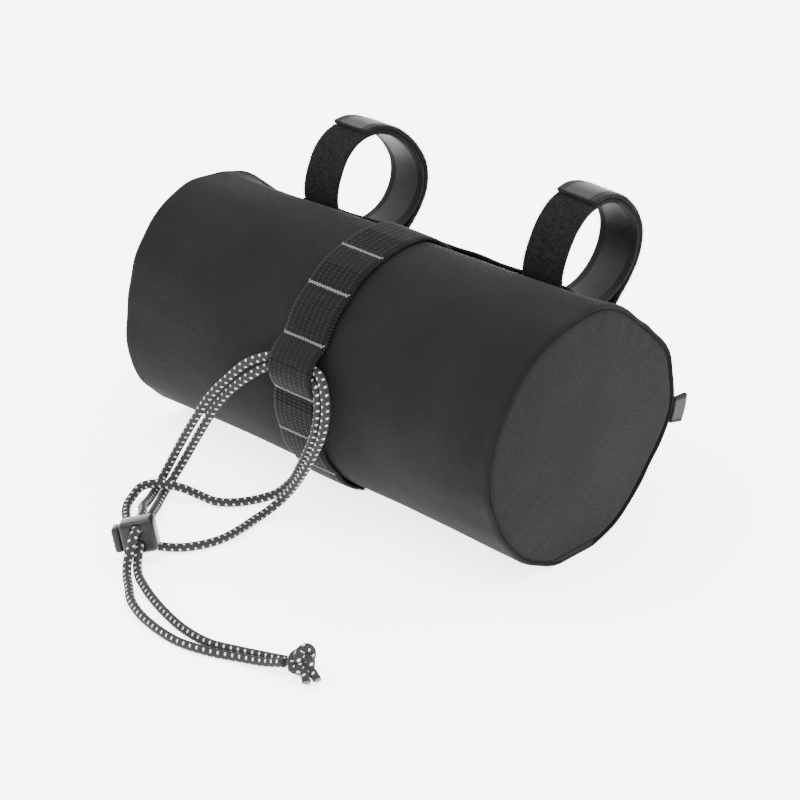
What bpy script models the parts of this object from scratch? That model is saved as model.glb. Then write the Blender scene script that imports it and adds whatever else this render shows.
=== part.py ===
"""A cylindrical cloth bag that straps under a bicycle's handlebar, lying on a flat surface.

+X runs along the bag to its right end, -Y is its front, +Z is up.
The origin is on the surface, under the middle of the bag's axis.
Angles round the bag are in degrees from its top, positive towards the back.
"""

import math

import bmesh
import bpy
import numpy as np
from mathutils import Matrix, Vector

# Driving dimensions, in metres and degrees
BAG_LENGTH = 0.229
BAG_RADIUS = 0.058
FLOOR_FLAT = 0.002  # how far the cloth settles where it rests
CLOTH_WALL = 0.002
PANEL_WALL = 0.002
PANEL_INSET = 0.001  # from the rim to the panel's edge
PANEL_CROWN = 0.0015  # how far the panel swells from its edge to its middle
RIM_BAND = 0.0036  # the straight band of cloth at each end, which the panel is sewn into
GAP = 0.0003  # between pieces that touch

WEBBING_WIDTH = 0.025
WEBBING_THICK = 0.0016
REAR_ANGLE = 44.0  # where the rear webbing and the straps sit
FRONT_END_ANGLE = -150.0  # where the front webbing ends under the bag
LOOP_PUFF = 0.0009  # how far the front webbing stands up between two stitch bars
CORD_PUFF = 0.0066  # the same where the cord goes through

STRAP_WIDTH = 0.021
STRAP_THICK = 0.0019
STRAP_LAYER_GAP = 0.0006  # between the two layers of a closed strap

TAB_WIDTH = 0.0105
TAB_REACH = 0.0085
TAB_THICK = 0.0022
TAB_ANGLE = 99.0
TAB_INSET = 0.0014  # from the bag's rim to the middle of the tab

CORD_DIAMETER = 0.004
KNOT_RADIUS = 0.0066
KNOT_TAIL_LENGTH = 0.0055

LOCK_WIDTH = 0.0155  # along the button's travel
LOCK_HEIGHT = 0.0148
LOCK_DEPTH = 0.011  # along the holes
LOCK_ROUND = 0.0022
LOCK_WALL = 0.0013  # round the button's recess
LOCK_HOLE_RADIUS = 0.0026
LOCK_HOLE_SPACING = 0.0072
BUTTON_TRAVEL = 0.003
BUTTON_PROUD = 0.0035  # how far the button stands out of the lock at rest
BUTTON_SLACK = 0.0004  # all round, in its recess
BUTTON_ROUND = 0.0014
STEM_THICK = 0.0022
STEM_DEPTH = 0.006
STEM_LENGTH = 0.0085
LOCK_CENTRE = (-0.0209, -0.1343, 0.0112)
LOCK_YAW = 41.0
LOCK_PITCH = 10.0
LOCK_ROLL = 12.0

# The outline of the two ends, as shares of the bag's radius
RIGHT_END = [
    {"angle": -160, "radius": 1.015},
    {"angle": -138, "radius": 1.030},
    {"angle": -112, "radius": 1.038},
    {"angle": -86, "radius": 1.066},
    {"angle": -62, "radius": 1.036},
    {"angle": -36, "radius": 1.038},
    {"angle": -14, "radius": 1.016},
    {"angle": 12, "radius": 1.034},
    {"angle": 40, "radius": 1.028},
    {"angle": 62, "radius": 1.068},
    {"angle": 80, "radius": 1.054},
    {"angle": 98, "radius": 1.068},
    {"angle": 112, "radius": 1.008},
    {"angle": 127, "radius": 0.962},
    {"angle": 148, "radius": 0.982},
    {"angle": 175, "radius": 1.005},
]
LEFT_END = [
    {"angle": -150, "radius": 1.005},
    {"angle": -115, "radius": 1.018},
    {"angle": -80, "radius": 0.968},
    {"angle": -50, "radius": 1.012},
    {"angle": -20, "radius": 1.028},
    {"angle": 5, "radius": 0.968},
    {"angle": 30, "radius": 0.965},
    {"angle": 62, "radius": 1.020},
    {"angle": 100, "radius": 1.030},
    {"angle": 140, "radius": 0.985},
    {"angle": 175, "radius": 1.000},
]
# The flat that the rear webbing pulls into the bag: its distance from the axis as a share of the
# radius, at places given as shares of the length from the middle
REAR_FLAT = [
    {"along": -0.50, "height": 0.925},
    {"along": -0.455, "height": 0.855},
    {"along": -0.38, "height": 0.830},
    {"along": -0.25, "height": 0.838},
    {"along": -0.12, "height": 0.860},
    {"along": 0.0, "height": 0.882},
    {"along": 0.15, "height": 0.896},
    {"along": 0.32, "height": 0.902},
    {"along": 0.43, "height": 0.925},
    {"along": 0.50, "height": 0.985},
]
FLAT_BLEND = 0.10  # share of the radius over which the flat runs into the round
# Soft dents: place and reach along the bag as shares of its length, depth as a share of its radius
DENTS = [
    {"along": 0.15, "angle": -98, "reach_along": 0.075, "reach_angle": 20, "depth": 0.040},
    {"along": -0.30, "angle": -128, "reach_along": 0.12, "reach_angle": 24, "depth": 0.018},
    {"along": 0.30, "angle": 150, "reach_along": 0.16, "reach_angle": 26, "depth": 0.022},
    {"along": -0.15, "angle": 118, "reach_along": 0.15, "reach_angle": 22, "depth": 0.030},
]
END_REACH = 0.36  # share of the length over which an end's outline fades into the round
STATIONS = [-0.455, -0.42, -0.36, -0.28, -0.18, -0.06, 0.06, 0.15, 0.24, 0.33, 0.41, 0.46]
SIDES = 48

# The stitch bars that hold the front webbing down, from the top to underneath
STITCH_BARS = [-17.0, -39.5, -63.0, -86.5, -107.0, -128.0, -147.0]
CORD_LOOP_INDEX = 2  # the cord goes through the webbing's loop after this bar

# One closed hook-and-loop strap, from its inner end at the back, once round and over itself to its
# outer end: across as a share of the ring's half span, rise as a share of its height above the bag
STRAP_ROUTE = [
    {"across": 0.56, "rise": 0.105, "layer": 0},
    {"across": 0.76, "rise": 0.20, "layer": 0},
    {"across": 0.94, "rise": 0.37, "layer": 0},
    {"across": 1.00, "rise": 0.56, "layer": 0},
    {"across": 0.92, "rise": 0.75, "layer": 0},
    {"across": 0.68, "rise": 0.91, "layer": 0},
    {"across": 0.34, "rise": 0.985, "layer": 0},
    {"across": 0.0, "rise": 1.0, "layer": 0},
    {"across": -0.34, "rise": 0.975, "layer": 0},
    {"across": -0.68, "rise": 0.88, "layer": 0},
    {"across": -0.93, "rise": 0.70, "layer": 0},
    {"across": -1.00, "rise": 0.50, "layer": 0},
    {"across": -0.93, "rise": 0.30, "layer": 0},
    {"across": -0.79, "rise": 0.12, "layer": 0},
    {"across": -0.61, "rise": 0.012, "layer": 0},
    {"across": -0.50, "rise": 0.0, "layer": 0},
    {"across": -0.40, "rise": 0.0, "layer": 0},
    {"across": 0.40, "rise": 0.0, "layer": 0},
    {"across": 0.55, "rise": 0.0, "layer": 0},
    {"across": 0.88, "rise": 0.03, "layer": 0},
    {"across": 0.99, "rise": 0.13, "layer": 1},
    {"across": 1.00, "rise": 0.34, "layer": 1},
    {"across": 1.00, "rise": 0.56, "layer": 1},
    {"across": 0.92, "rise": 0.75, "layer": 1},
    {"across": 0.68, "rise": 0.91, "layer": 1},
    {"across": 0.34, "rise": 0.985, "layer": 1},
    {"across": 0.0, "rise": 1.0, "layer": 1},
    {"across": -0.34, "rise": 0.975, "layer": 1},
    {"across": -0.60, "rise": 0.91, "layer": 1},
]
STRAPS = {
    "strap_left": {"place": -0.0640, "half_span": 0.0284, "height": 0.0468, "yaw": -2.0},
    "strap_right": {"place": 0.0655, "half_span": 0.0264, "height": 0.0490, "yaw": 4.0},
}

# The cord's routes, chosen by hand
CORD_LOOP_ROUTE = [
    (0.0004, -0.0589, 0.0694), (0.008, -0.0592, 0.0694), (0.0132, -0.06, 0.0678),
    (0.0162, -0.0616, 0.0625), (0.0168, -0.0626, 0.055), (0.0152, -0.063, 0.046),
    (0.0105, -0.0625, 0.036), (0.0035, -0.0605, 0.025), (-0.0055, -0.0575, 0.013),
    (-0.013, -0.0595, 0.005), (-0.0185, -0.065, 0.0022), (-0.024, -0.0742, 0.002),
    (-0.031, -0.0798, 0.002), (-0.0395, -0.082, 0.003), (-0.0455, -0.0868, 0.0062),
    (-0.0505, -0.0907, 0.0075), (-0.0553, -0.0945, 0.0078), (-0.0594, -0.0988, 0.0062),
    (-0.059, -0.1045, 0.0036), (-0.056, -0.1105, 0.0023), (-0.0497, -0.1165, 0.002),
    (-0.041, -0.1228, 0.002), (-0.031, -0.1262, 0.002), (-0.0208, -0.125, 0.002),
    (-0.0128, -0.12, 0.002), (-0.0075, -0.1125, 0.002), (-0.0043, -0.1015, 0.002),
    (-0.005, -0.088, 0.002), (-0.0066, -0.079, 0.002), (-0.0066, -0.0715, 0.003),
    (-0.0035, -0.065, 0.008), (0.003, -0.0635, 0.0168), (0.0103, -0.0645, 0.027),
    (0.0162, -0.0646, 0.037), (0.021, -0.0644, 0.0475), (0.0223, -0.0632, 0.058),
    (0.0205, -0.0618, 0.067), (0.015, -0.0593, 0.0726), (0.008, -0.058, 0.0737),
    (0.0004, -0.0577, 0.0737),
]
CORD_RUN_A_ROUTE = [
    (-0.0004, -0.0577, 0.0737), (-0.0084, -0.0578, 0.0738), (-0.0152, -0.0602, 0.0726),
    (-0.0231, -0.0656, 0.0686), (-0.0315, -0.0703, 0.05955), (-0.03925, -0.0736, 0.0497),
    (-0.04585, -0.0759, 0.0384), (-0.05175, -0.0772, 0.0281), (-0.0571, -0.0787, 0.0177),
    (-0.0604, -0.0812, 0.0092), (-0.06015, -0.0873, 0.0032), (-0.0564, -0.0945, 0.0021),
    (-0.0506, -0.103, 0.0038), (-0.0425, -0.1129, 0.0083), (-0.0338, -0.1206, 0.012),
]
CORD_RUN_B_ROUTE = [
    (-0.0004, -0.0589, 0.0694), (-0.0084, -0.059, 0.0694), (-0.0154, -0.0617, 0.0676),
    (-0.0209, -0.066, 0.0634), (-0.0285, -0.0693, 0.05605), (-0.03575, -0.072, 0.0467),
    (-0.04215, -0.0737, 0.036), (-0.04785, -0.0748, 0.0259), (-0.0533, -0.0759, 0.0159),
    (-0.0562, -0.0794, 0.008), (-0.05585, -0.0853, 0.0032), (-0.0526, -0.0919, 0.0021),
    (-0.0469, -0.1006, 0.0023), (-0.0392, -0.111, 0.0046), (-0.032, -0.12, 0.0066),
]
TAIL_A_ROUTE = [
    (-0.0156, -0.1426, 0.0146), (-0.0144, -0.1456, 0.0099), (-0.0134, -0.1482, 0.0057),
    (-0.0100, -0.1517, 0.0027), (-0.0030, -0.1570, 0.0020),
    (0.0058, -0.1637, 0.0020), (0.0180, -0.1692, 0.0020), (0.0340, -0.1726, 0.0020),
    (0.0466, -0.1730, 0.0020), (0.0607, -0.1696, 0.0020), (0.0729, -0.1644, 0.0021),
    (0.0830, -0.1612, 0.0030), (0.0937, -0.1595, 0.0063),
]
TAIL_B_ROUTE = [
    (-0.0133, -0.1419, 0.0074), (-0.0114, -0.1444, 0.0037), (-0.0070, -0.1477, 0.0020),
    (0.0000, -0.1515, 0.0020),
    (0.0090, -0.1556, 0.0020), (0.0237, -0.1608, 0.0020), (0.0405, -0.1648, 0.0020),
    (0.0561, -0.1650, 0.0020), (0.0696, -0.1605, 0.0021), (0.0810, -0.1563, 0.0024),
    (0.0928, -0.1541, 0.0042),
]
CORD_STEP = 0.0122  # between the points of a cord's tube, about three diameters
CORD_SPAN_PIECES = 12  # the smooth line's pieces between two points of a route
KNOT_CENTRE = (0.0990, -0.1545, 0.0070)

AXIS_HEIGHT = BAG_RADIUS - FLOOR_FLAT
REAR_NORMAL = Vector((0, math.sin(math.radians(REAR_ANGLE)), math.cos(math.radians(REAR_ANGLE))))
REAR_ACROSS = Vector((0, math.cos(math.radians(REAR_ANGLE)), -math.sin(math.radians(REAR_ANGLE))))
AXIS_POINT = Vector((0, 0, AXIS_HEIGHT))
HALF_LENGTH = BAG_LENGTH / 2
BAND_START = HALF_LENGTH - RIM_BAND
PLACES = [-HALF_LENGTH, -BAND_START] + [share * BAG_LENGTH for share in STATIONS] + [BAND_START, HALF_LENGTH]


def clear_scene():
    for obj in list(bpy.data.objects):
        bpy.data.objects.remove(obj, do_unlink=True)


def new_collection(name):
    collection = bpy.data.collections.new(name)
    bpy.context.scene.collection.children.link(collection)
    return collection


def make_material(name, colour, roughness, metallic=0.0):
    material = bpy.data.materials.new(name)
    material.use_nodes = True
    shader = material.node_tree.nodes["Principled BSDF"]
    shader.inputs["Base Color"].default_value = (*colour, 1.0)
    shader.inputs["Roughness"].default_value = roughness
    shader.inputs["Metallic"].default_value = metallic
    return material


def add_object(name, mesh, collection, material=None):
    obj = bpy.data.objects.new(name, mesh)
    collection.objects.link(obj)
    if material:
        mesh.materials.append(material)
    return obj


def ease(value):
    """Smooth step from 0 to 1."""
    value = min(max(value, 0.0), 1.0)
    return value * value * (3.0 - 2.0 * value)


def smooth_between(knots, values, place):
    """Cubic interpolation through the knots, flat outside them."""
    if place <= knots[0]:
        return values[0]
    if place >= knots[-1]:
        return values[-1]
    i = int(np.searchsorted(knots, place, side="right")) - 1
    i = min(i, len(knots) - 2)
    step = knots[i + 1] - knots[i]
    u = (place - knots[i]) / step

    def slope(k):
        low, high = max(k - 1, 0), min(k + 1, len(knots) - 1)
        return (values[high] - values[low]) / (knots[high] - knots[low])

    start, end = slope(i) * step, slope(i + 1) * step
    return (
        (2 * u**3 - 3 * u**2 + 1) * values[i]
        + (u**3 - 2 * u**2 + u) * start
        + (-2 * u**3 + 3 * u**2) * values[i + 1]
        + (u**3 - u**2) * end
    )


def round_outline(rows, angle):
    """The radius share of an end's outline at an angle; the table closes on itself."""
    angles = [row["angle"] for row in rows]
    shares = [row["radius"] for row in rows]
    knots = [angles[-2] - 360, angles[-1] - 360] + angles + [angles[0] + 360, angles[1] + 360]
    values = shares[-2:] + shares + shares[:2]
    return smooth_between(knots, values, (angle + 180) % 360 - 180)


def turn_between(a, b):
    """The signed angle from b to a, between -180 and 180."""
    return (a - b + 180) % 360 - 180


def along_share(x):
    """The place as a share of the length from the middle; a rim's band all counts as its end."""
    return math.copysign(0.5, x) if abs(x) > BAND_START - GAP else x / BAG_LENGTH


def rear_flat(x):
    """How far the flat under the rear webbing lies from the bag's axis."""
    knots = [row["along"] for row in REAR_FLAT]
    values = [row["height"] for row in REAR_FLAT]
    return BAG_RADIUS * smooth_between(knots, values, along_share(x))


def free_radius(x, angle):
    """The cloth's outer radius at a place along the bag and an angle round it."""
    along = along_share(x)
    share = 1.0
    share += ease((along - 0.5 + END_REACH) / END_REACH) * (round_outline(RIGHT_END, angle) - 1)
    share += ease((-along - 0.5 + END_REACH) / END_REACH) * (round_outline(LEFT_END, angle) - 1)
    for dent in DENTS:
        across = turn_between(angle, dent["angle"]) / dent["reach_angle"]
        share -= dent["depth"] * math.exp(-(((along - dent["along"]) / dent["reach_along"]) ** 2) - across**2)
    radius = BAG_RADIUS * share
    off = math.cos(math.radians(turn_between(angle, REAR_ANGLE)))
    if off > 0.1:
        flat = rear_flat(x) / off
        blend = BAG_RADIUS * FLAT_BLEND
        mix = max(blend - abs(radius - flat), 0.0) / blend
        radius = min(radius, flat) - mix * mix * blend / 4
    return radius


def cloth_radius(x, angle):
    """The same on the modelled facets, which are straight from one station to the next."""
    i = min(max(int(np.searchsorted(PLACES, x, side="right")) - 1, 0), len(PLACES) - 2)
    u = (x - PLACES[i]) / (PLACES[i + 1] - PLACES[i])
    u = min(max(u, 0.0), 1.0)
    return free_radius(PLACES[i], angle) * (1 - u) + free_radius(PLACES[i + 1], angle) * u


def round_point(x, angle, radius):
    turn = math.radians(angle)
    return Vector((x, radius * math.sin(turn), AXIS_HEIGHT + radius * math.cos(turn)))


def sheet_object(name, rows, thick, offset, collection, material, closed=False):
    """An open surface given its thickness; rows of points, closed joins each row's ends."""
    across = len(rows[0])
    mesh = bpy.data.meshes.new(name)
    faces = []
    for i in range(len(rows) - 1):
        for j in range(across if closed else across - 1):
            k = (j + 1) % across
            faces.append((i * across + j, (i + 1) * across + j, (i + 1) * across + k, i * across + k))
    mesh.from_pydata([point for row in rows for point in row], [], faces)
    obj = add_object(name, mesh, collection, material)
    wall = obj.modifiers.new("wall", "SOLIDIFY")
    wall.thickness = thick
    wall.offset = offset
    wall.use_even_offset = True
    mesh.shade_smooth()
    mesh.set_sharp_from_angle(angle=math.radians(40))
    return obj


def body_tube(collection, material):
    rows = []
    for x in PLACES:
        row = []
        for side in range(SIDES):
            angle = side * 360 / SIDES
            point = round_point(x, angle, free_radius(x, angle))
            point.z = max(point.z, 0.0)
            row.append(point)
        rows.append(row)
    return sheet_object("body_tube", rows, CLOTH_WALL, -1, collection, material, closed=True)


def panel_edge(x, angle):
    """The end panel's radius, inside the cloth's rim, and never under the flat it rests on."""
    radius = free_radius(x, angle)
    down = -math.cos(math.radians(angle))
    if down > 0.1:
        radius = min(radius, AXIS_HEIGHT / down)
    return radius - CLOTH_WALL - GAP


def end_panel(name, side, collection, material):
    """A slightly swollen disc, built as rings round its middle."""
    x_rim = side * HALF_LENGTH
    shares = (0.0, 0.4, 0.75, 1.0)
    mesh = bpy.data.meshes.new(name)
    body = bmesh.new()
    rings = []
    for share in shares:
        x = x_rim + side * (PANEL_CROWN * (1 - share * share) - PANEL_INSET)
        if share == 0:
            rings.append([body.verts.new((x, 0, AXIS_HEIGHT))])
            continue
        ring = []
        for step in range(SIDES):
            angle = step * 360 / SIDES
            ring.append(body.verts.new(round_point(x, angle, share * panel_edge(x_rim, angle))))
        rings.append(ring)
    for inner, outer in zip(rings, rings[1:]):
        for step in range(SIDES):
            after = (step + 1) % SIDES
            if len(inner) == 1:
                face = [inner[0], outer[step], outer[after]]
            else:
                face = [inner[step], outer[step], outer[after], inner[after]]
            body.faces.new(face if side < 0 else face[::-1])
    body.to_mesh(mesh)
    body.free()
    obj = add_object(name, mesh, collection, material)
    wall = obj.modifiers.new("wall", "SOLIDIFY")
    wall.thickness = PANEL_WALL
    wall.offset = -1
    mesh.shade_smooth()
    mesh.set_sharp_from_angle(angle=math.radians(40))
    return obj


def webbing_puff(angle):
    """How far the front webbing stands off the cloth between its stitch bars."""
    for index, (upper, lower) in enumerate(zip(STITCH_BARS, STITCH_BARS[1:])):
        if lower <= angle <= upper:
            u = (upper - angle) / (upper - lower)
            if index == CORD_LOOP_INDEX:
                return CORD_PUFF * math.sin(math.pi * u) ** 0.55
            return LOOP_PUFF * math.sin(math.pi * u) ** 0.8
    return 0.0


def front_webbing(collection, material):
    """From under the rear webbing, over the top and round the front to underneath."""
    half_turn = math.degrees(math.atan2(WEBBING_WIDTH / 2, rear_flat(0.0)))
    angles = [REAR_ANGLE + half_turn, REAR_ANGLE]
    angles += list(np.linspace(REAR_ANGLE - half_turn, STITCH_BARS[0], 13)[:-1])
    for upper, lower in zip(STITCH_BARS, STITCH_BARS[1:]):
        angles += [upper + (lower - upper) * u / 6 for u in range(6)]
    angles += [STITCH_BARS[-1], FRONT_END_ANGLE]
    places = (-WEBBING_WIDTH / 2, 0.0, WEBBING_WIDTH / 2)
    rows = []
    for x in places:
        row = []
        for angle in reversed(angles):
            clear = max(cloth_radius(place, angle) for place in places)
            row.append(round_point(x, angle, clear + GAP + webbing_puff(angle)))
        rows.append(row)
    return sheet_object("front_webbing", rows, WEBBING_THICK, 1, collection, material)


def highest_flat(low, high):
    return max(cloth_flat(x) for x in np.linspace(low, high, 9))


def cloth_flat(x):
    """The flat's distance from the axis on the modelled facets."""
    return float(np.interp(x, PLACES, [rear_flat(place) for place in PLACES]))


def strap_seat(strap):
    """The distance from the axis of the strap's underside, on the flat."""
    reach = STRAP_WIDTH / 2 + WEBBING_WIDTH / 2 * abs(math.tan(math.radians(strap["yaw"])))
    return highest_flat(strap["place"] - reach, strap["place"] + reach) + GAP, reach


def rear_webbing(collection, material):
    """Along the flat from end to end, over the front webbing and the straps' bases."""
    ramp = 0.009
    held = [(end, rear_flat(end) + GAP) for end in (-HALF_LENGTH, HALF_LENGTH)]
    for strap in STRAPS.values():
        seat, reach = strap_seat(strap)
        over = seat + STRAP_THICK + GAP
        held += [(strap["place"] - reach - 0.001, over), (strap["place"] + reach + 0.001, over)]
        outer = strap["place"] + math.copysign(reach + ramp, strap["place"])
        held.append((outer, cloth_flat(outer) + GAP))
    over = highest_flat(-WEBBING_WIDTH / 2, WEBBING_WIDTH / 2) + 2 * GAP + WEBBING_THICK
    held += [(-WEBBING_WIDTH / 2 - 0.001, over), (WEBBING_WIDTH / 2 + 0.001, over)]
    held.sort()
    rows = []
    for x in sorted({x for x, _ in held} | set(PLACES)):
        height = max(float(np.interp(x, *zip(*held))), cloth_flat(x) + GAP)
        middle = AXIS_POINT + Vector((x, 0, 0)) + REAR_NORMAL * height
        rows.append([middle - REAR_ACROSS * WEBBING_WIDTH / 2, middle + REAR_ACROSS * WEBBING_WIDTH / 2])
    return sheet_object("rear_webbing", rows, WEBBING_THICK, 1, collection, material)


def smooth_route(points, per_span):
    """A centripetal curve through the points, with per_span pieces between each two."""
    points = [Vector(point) for point in points]
    padded = [2 * points[0] - points[1]] + points + [2 * points[-1] - points[-2]]
    result = []
    for i in range(1, len(padded) - 2):
        p0, p1, p2, p3 = padded[i - 1 : i + 3]
        t0, t1 = 0.0, (p1 - p0).length ** 0.5
        t2 = t1 + (p2 - p1).length ** 0.5
        t3 = t2 + (p3 - p2).length ** 0.5
        for step in range(per_span):
            t = t1 + (t2 - t1) * step / per_span
            a1 = p0.lerp(p1, (t - t0) / (t1 - t0))
            a2 = p1.lerp(p2, (t - t1) / (t2 - t1))
            a3 = p2.lerp(p3, (t - t2) / (t3 - t2))
            b1 = a1.lerp(a2, (t - t0) / (t2 - t0))
            b2 = a2.lerp(a3, (t - t1) / (t3 - t1))
            result.append(b1.lerp(b2, (t - t1) / (t2 - t1)))
    result.append(points[-1])
    return result


def even_steps(points, step):
    """The same line with its points a fixed distance apart."""
    lengths = [0.0]
    for a, b in zip(points, points[1:]):
        lengths.append(lengths[-1] + (b - a).length)
    count = max(2, round(lengths[-1] / step))
    places = np.linspace(0, lengths[-1], count + 1)
    return [Vector([np.interp(s, lengths, [p[k] for p in points]) for k in range(3)]) for s in places]


def strap_route(strap):
    """The strap's middle line as (across, height) above its seat, in metres."""
    base = STRAP_THICK / 2
    span, top = strap["half_span"], strap["height"]
    pitch = STRAP_THICK + STRAP_LAYER_GAP
    centre = 0.52 * top
    line = []
    for row in STRAP_ROUTE:
        across = row["across"] * span
        height = base + row["rise"] * (top - base)
        if row["layer"]:
            away = Vector((across / span**2, (height - centre) / centre**2)).normalized()
            if height < centre:
                away = Vector((1, 0))
            across += away.x * pitch
            height += away.y * pitch
        line.append((across, height, 0))
    return smooth_route(line, 3)


def strap(name, collection, material):
    size = STRAPS[name]
    seat, _ = strap_seat(size)
    middle = AXIS_POINT + Vector((size["place"], 0, 0)) + REAR_NORMAL * seat
    turn = Matrix.Rotation(math.radians(size["yaw"]), 3, REAR_NORMAL)
    rows = []
    for side in (-0.5, 0.5):
        row = []
        for across, height, _ in strap_route(size):
            local = Vector((side * STRAP_WIDTH, 0, 0)) + REAR_ACROSS * across + REAR_NORMAL * height
            row.append(middle + turn @ local)
        rows.append(row)
    return sheet_object(name, rows, STRAP_THICK, 0, collection, material)


def end_tab(collection, material):
    """A folded tape that stands out of the right rim's seam."""
    x = HALF_LENGTH - TAB_INSET
    half = math.degrees(TAB_WIDTH / 2 / BAG_RADIUS)
    rows = []
    for reach in (0.0, 0.5, 1.0):
        row = []
        for side in (-1, 0, 1):
            angle = TAB_ANGLE + side * half
            foot = cloth_radius(x, angle) + GAP
            row.append(round_point(x, angle, foot + reach * TAB_REACH))
        rows.append(row)
    return sheet_object("end_tab", rows, TAB_THICK, 0, collection, material)


def cord_tube(name, route, kept, collection, material):
    """A tube along a smooth line; the route's points numbered in kept are points of the tube too."""
    line = smooth_route(route, CORD_SPAN_PIECES)
    points = [line[0]]
    ends = [0, *kept, len(route) - 1]
    for first, last in zip(ends, ends[1:]):
        points += even_steps(line[first * CORD_SPAN_PIECES : last * CORD_SPAN_PIECES + 1], CORD_STEP)[1:]
    curve = bpy.data.curves.new(name, "CURVE")
    curve.dimensions = "3D"
    curve.bevel_depth = CORD_DIAMETER / 2
    curve.bevel_resolution = 2
    curve.use_fill_caps = True
    spline = curve.splines.new("POLY")
    spline.points.add(len(points) - 1)
    for target, point in zip(spline.points, points):
        target.co = (*point, 1)
    obj = bpy.data.objects.new(name, curve)
    collection.objects.link(obj)
    curve.materials.append(material)
    return obj


def lock_matrix():
    yaw = Matrix.Rotation(math.radians(LOCK_YAW), 4, "Z")
    pitch = Matrix.Rotation(math.radians(-LOCK_PITCH), 4, "X")
    roll = Matrix.Rotation(math.radians(-LOCK_ROLL), 4, "Y")
    return Matrix.Translation(LOCK_CENTRE) @ yaw @ pitch @ roll


def in_lock(across, along, up):
    """A point given in the lock's own directions."""
    return lock_matrix() @ Vector((across, along, up))


def box_mesh(name, low, high):
    """A box between two corners."""
    mesh = bpy.data.meshes.new(name)
    body = bmesh.new()
    bmesh.ops.create_cube(body, size=1.0)
    size = [b - a for a, b in zip(low, high)]
    middle = [(a + b) / 2 for a, b in zip(low, high)]
    bmesh.ops.scale(body, vec=size, verts=body.verts)
    bmesh.ops.translate(body, vec=middle, verts=body.verts)
    body.to_mesh(mesh)
    body.free()
    return mesh


def round_edges(obj, width, segments=2):
    bevel = obj.modifiers.new("rounding", "BEVEL")
    bevel.width = width
    bevel.segments = segments
    bevel.limit_method = "ANGLE"


def boolean(obj, other, operation):
    modifier = obj.modifiers.new(operation.lower(), "BOOLEAN")
    modifier.operation = operation
    modifier.object = other
    other.hide_render = True
    other.display_type = "WIRE"


def cord_lock(parts, cutters, body_material, button_material):
    """The housing with its recess and two holes, and the button with its middle stem."""
    frame = bpy.data.objects.new("cord_lock", None)
    parts.objects.link(frame)
    frame.matrix_world = lock_matrix()

    half = Vector((LOCK_WIDTH, LOCK_DEPTH, LOCK_HEIGHT)) / 2
    mesh = box_mesh("cord_lock_body", -half, half)
    body = add_object("cord_lock_body", mesh, parts, body_material)
    body.parent = frame
    round_edges(body, LOCK_ROUND)

    out = 0.002  # the cutters run past the faces
    recess_deep = BUTTON_TRAVEL + 2 * BUTTON_SLACK
    recess_low = (-half.x - out, -half.y + LOCK_WALL, -half.z + LOCK_WALL)
    recess_high = (-half.x + recess_deep, half.y - LOCK_WALL, half.z - LOCK_WALL)
    slot_half = (STEM_DEPTH / 2 + BUTTON_SLACK, STEM_THICK / 2 + BUTTON_SLACK)
    stem_end = -half.x + BUTTON_SLACK + STEM_LENGTH
    slot_low = (-half.x + recess_deep - out, -slot_half[0], -slot_half[1])
    slot_high = (stem_end + BUTTON_TRAVEL + BUTTON_SLACK, slot_half[0], slot_half[1])
    for name, low, high in (("recess_cutter", recess_low, recess_high), ("slot_cutter", slot_low, slot_high)):
        cutter = add_object(name, box_mesh(name, low, high), cutters)
        cutter.parent = frame
        boolean(body, cutter, "DIFFERENCE")
    for index, side in enumerate((-0.5, 0.5)):
        name = f"hole_cutter_{index + 1}"
        mesh = bpy.data.meshes.new(name)
        tool = bmesh.new()
        bmesh.ops.create_cone(
            tool, cap_ends=True, segments=12, radius1=LOCK_HOLE_RADIUS, radius2=LOCK_HOLE_RADIUS, depth=LOCK_DEPTH + 2 * out
        )
        bmesh.ops.rotate(tool, matrix=Matrix.Rotation(math.pi / 2, 3, "X"), verts=tool.verts)
        bmesh.ops.translate(tool, vec=(0, 0, side * LOCK_HOLE_SPACING), verts=tool.verts)
        tool.to_mesh(mesh)
        tool.free()
        cutter = add_object(name, mesh, cutters)
        cutter.parent = frame
        boolean(body, cutter, "DIFFERENCE")

    low = (-half.x - BUTTON_PROUD, recess_low[1] + BUTTON_SLACK, recess_low[2] + BUTTON_SLACK)
    high = (-half.x + BUTTON_SLACK, recess_high[1] - BUTTON_SLACK, recess_high[2] - BUTTON_SLACK)
    button = add_object("cord_lock_button", box_mesh("cord_lock_button", low, high), parts, button_material)
    button.parent = frame
    round_edges(button, BUTTON_ROUND)
    stem_low = (-half.x - BUTTON_PROUD / 2, -STEM_DEPTH / 2, -STEM_THICK / 2)
    stem_high = (stem_end, STEM_DEPTH / 2, STEM_THICK / 2)
    stem = add_object("stem_joiner", box_mesh("stem_joiner", stem_low, stem_high), cutters)
    stem.parent = frame
    boolean(button, stem, "UNION")
    return body, button


def hole_points(side):
    """The straight stretch of a cord through one of the lock's holes, back to front."""
    up = side * LOCK_HOLE_SPACING / 2
    reach = LOCK_DEPTH / 2
    places = (reach + 0.002, reach / 2, 0, -reach / 2, -reach - 0.0008)
    return [tuple(in_lock(0, place, up)) for place in places]


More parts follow.
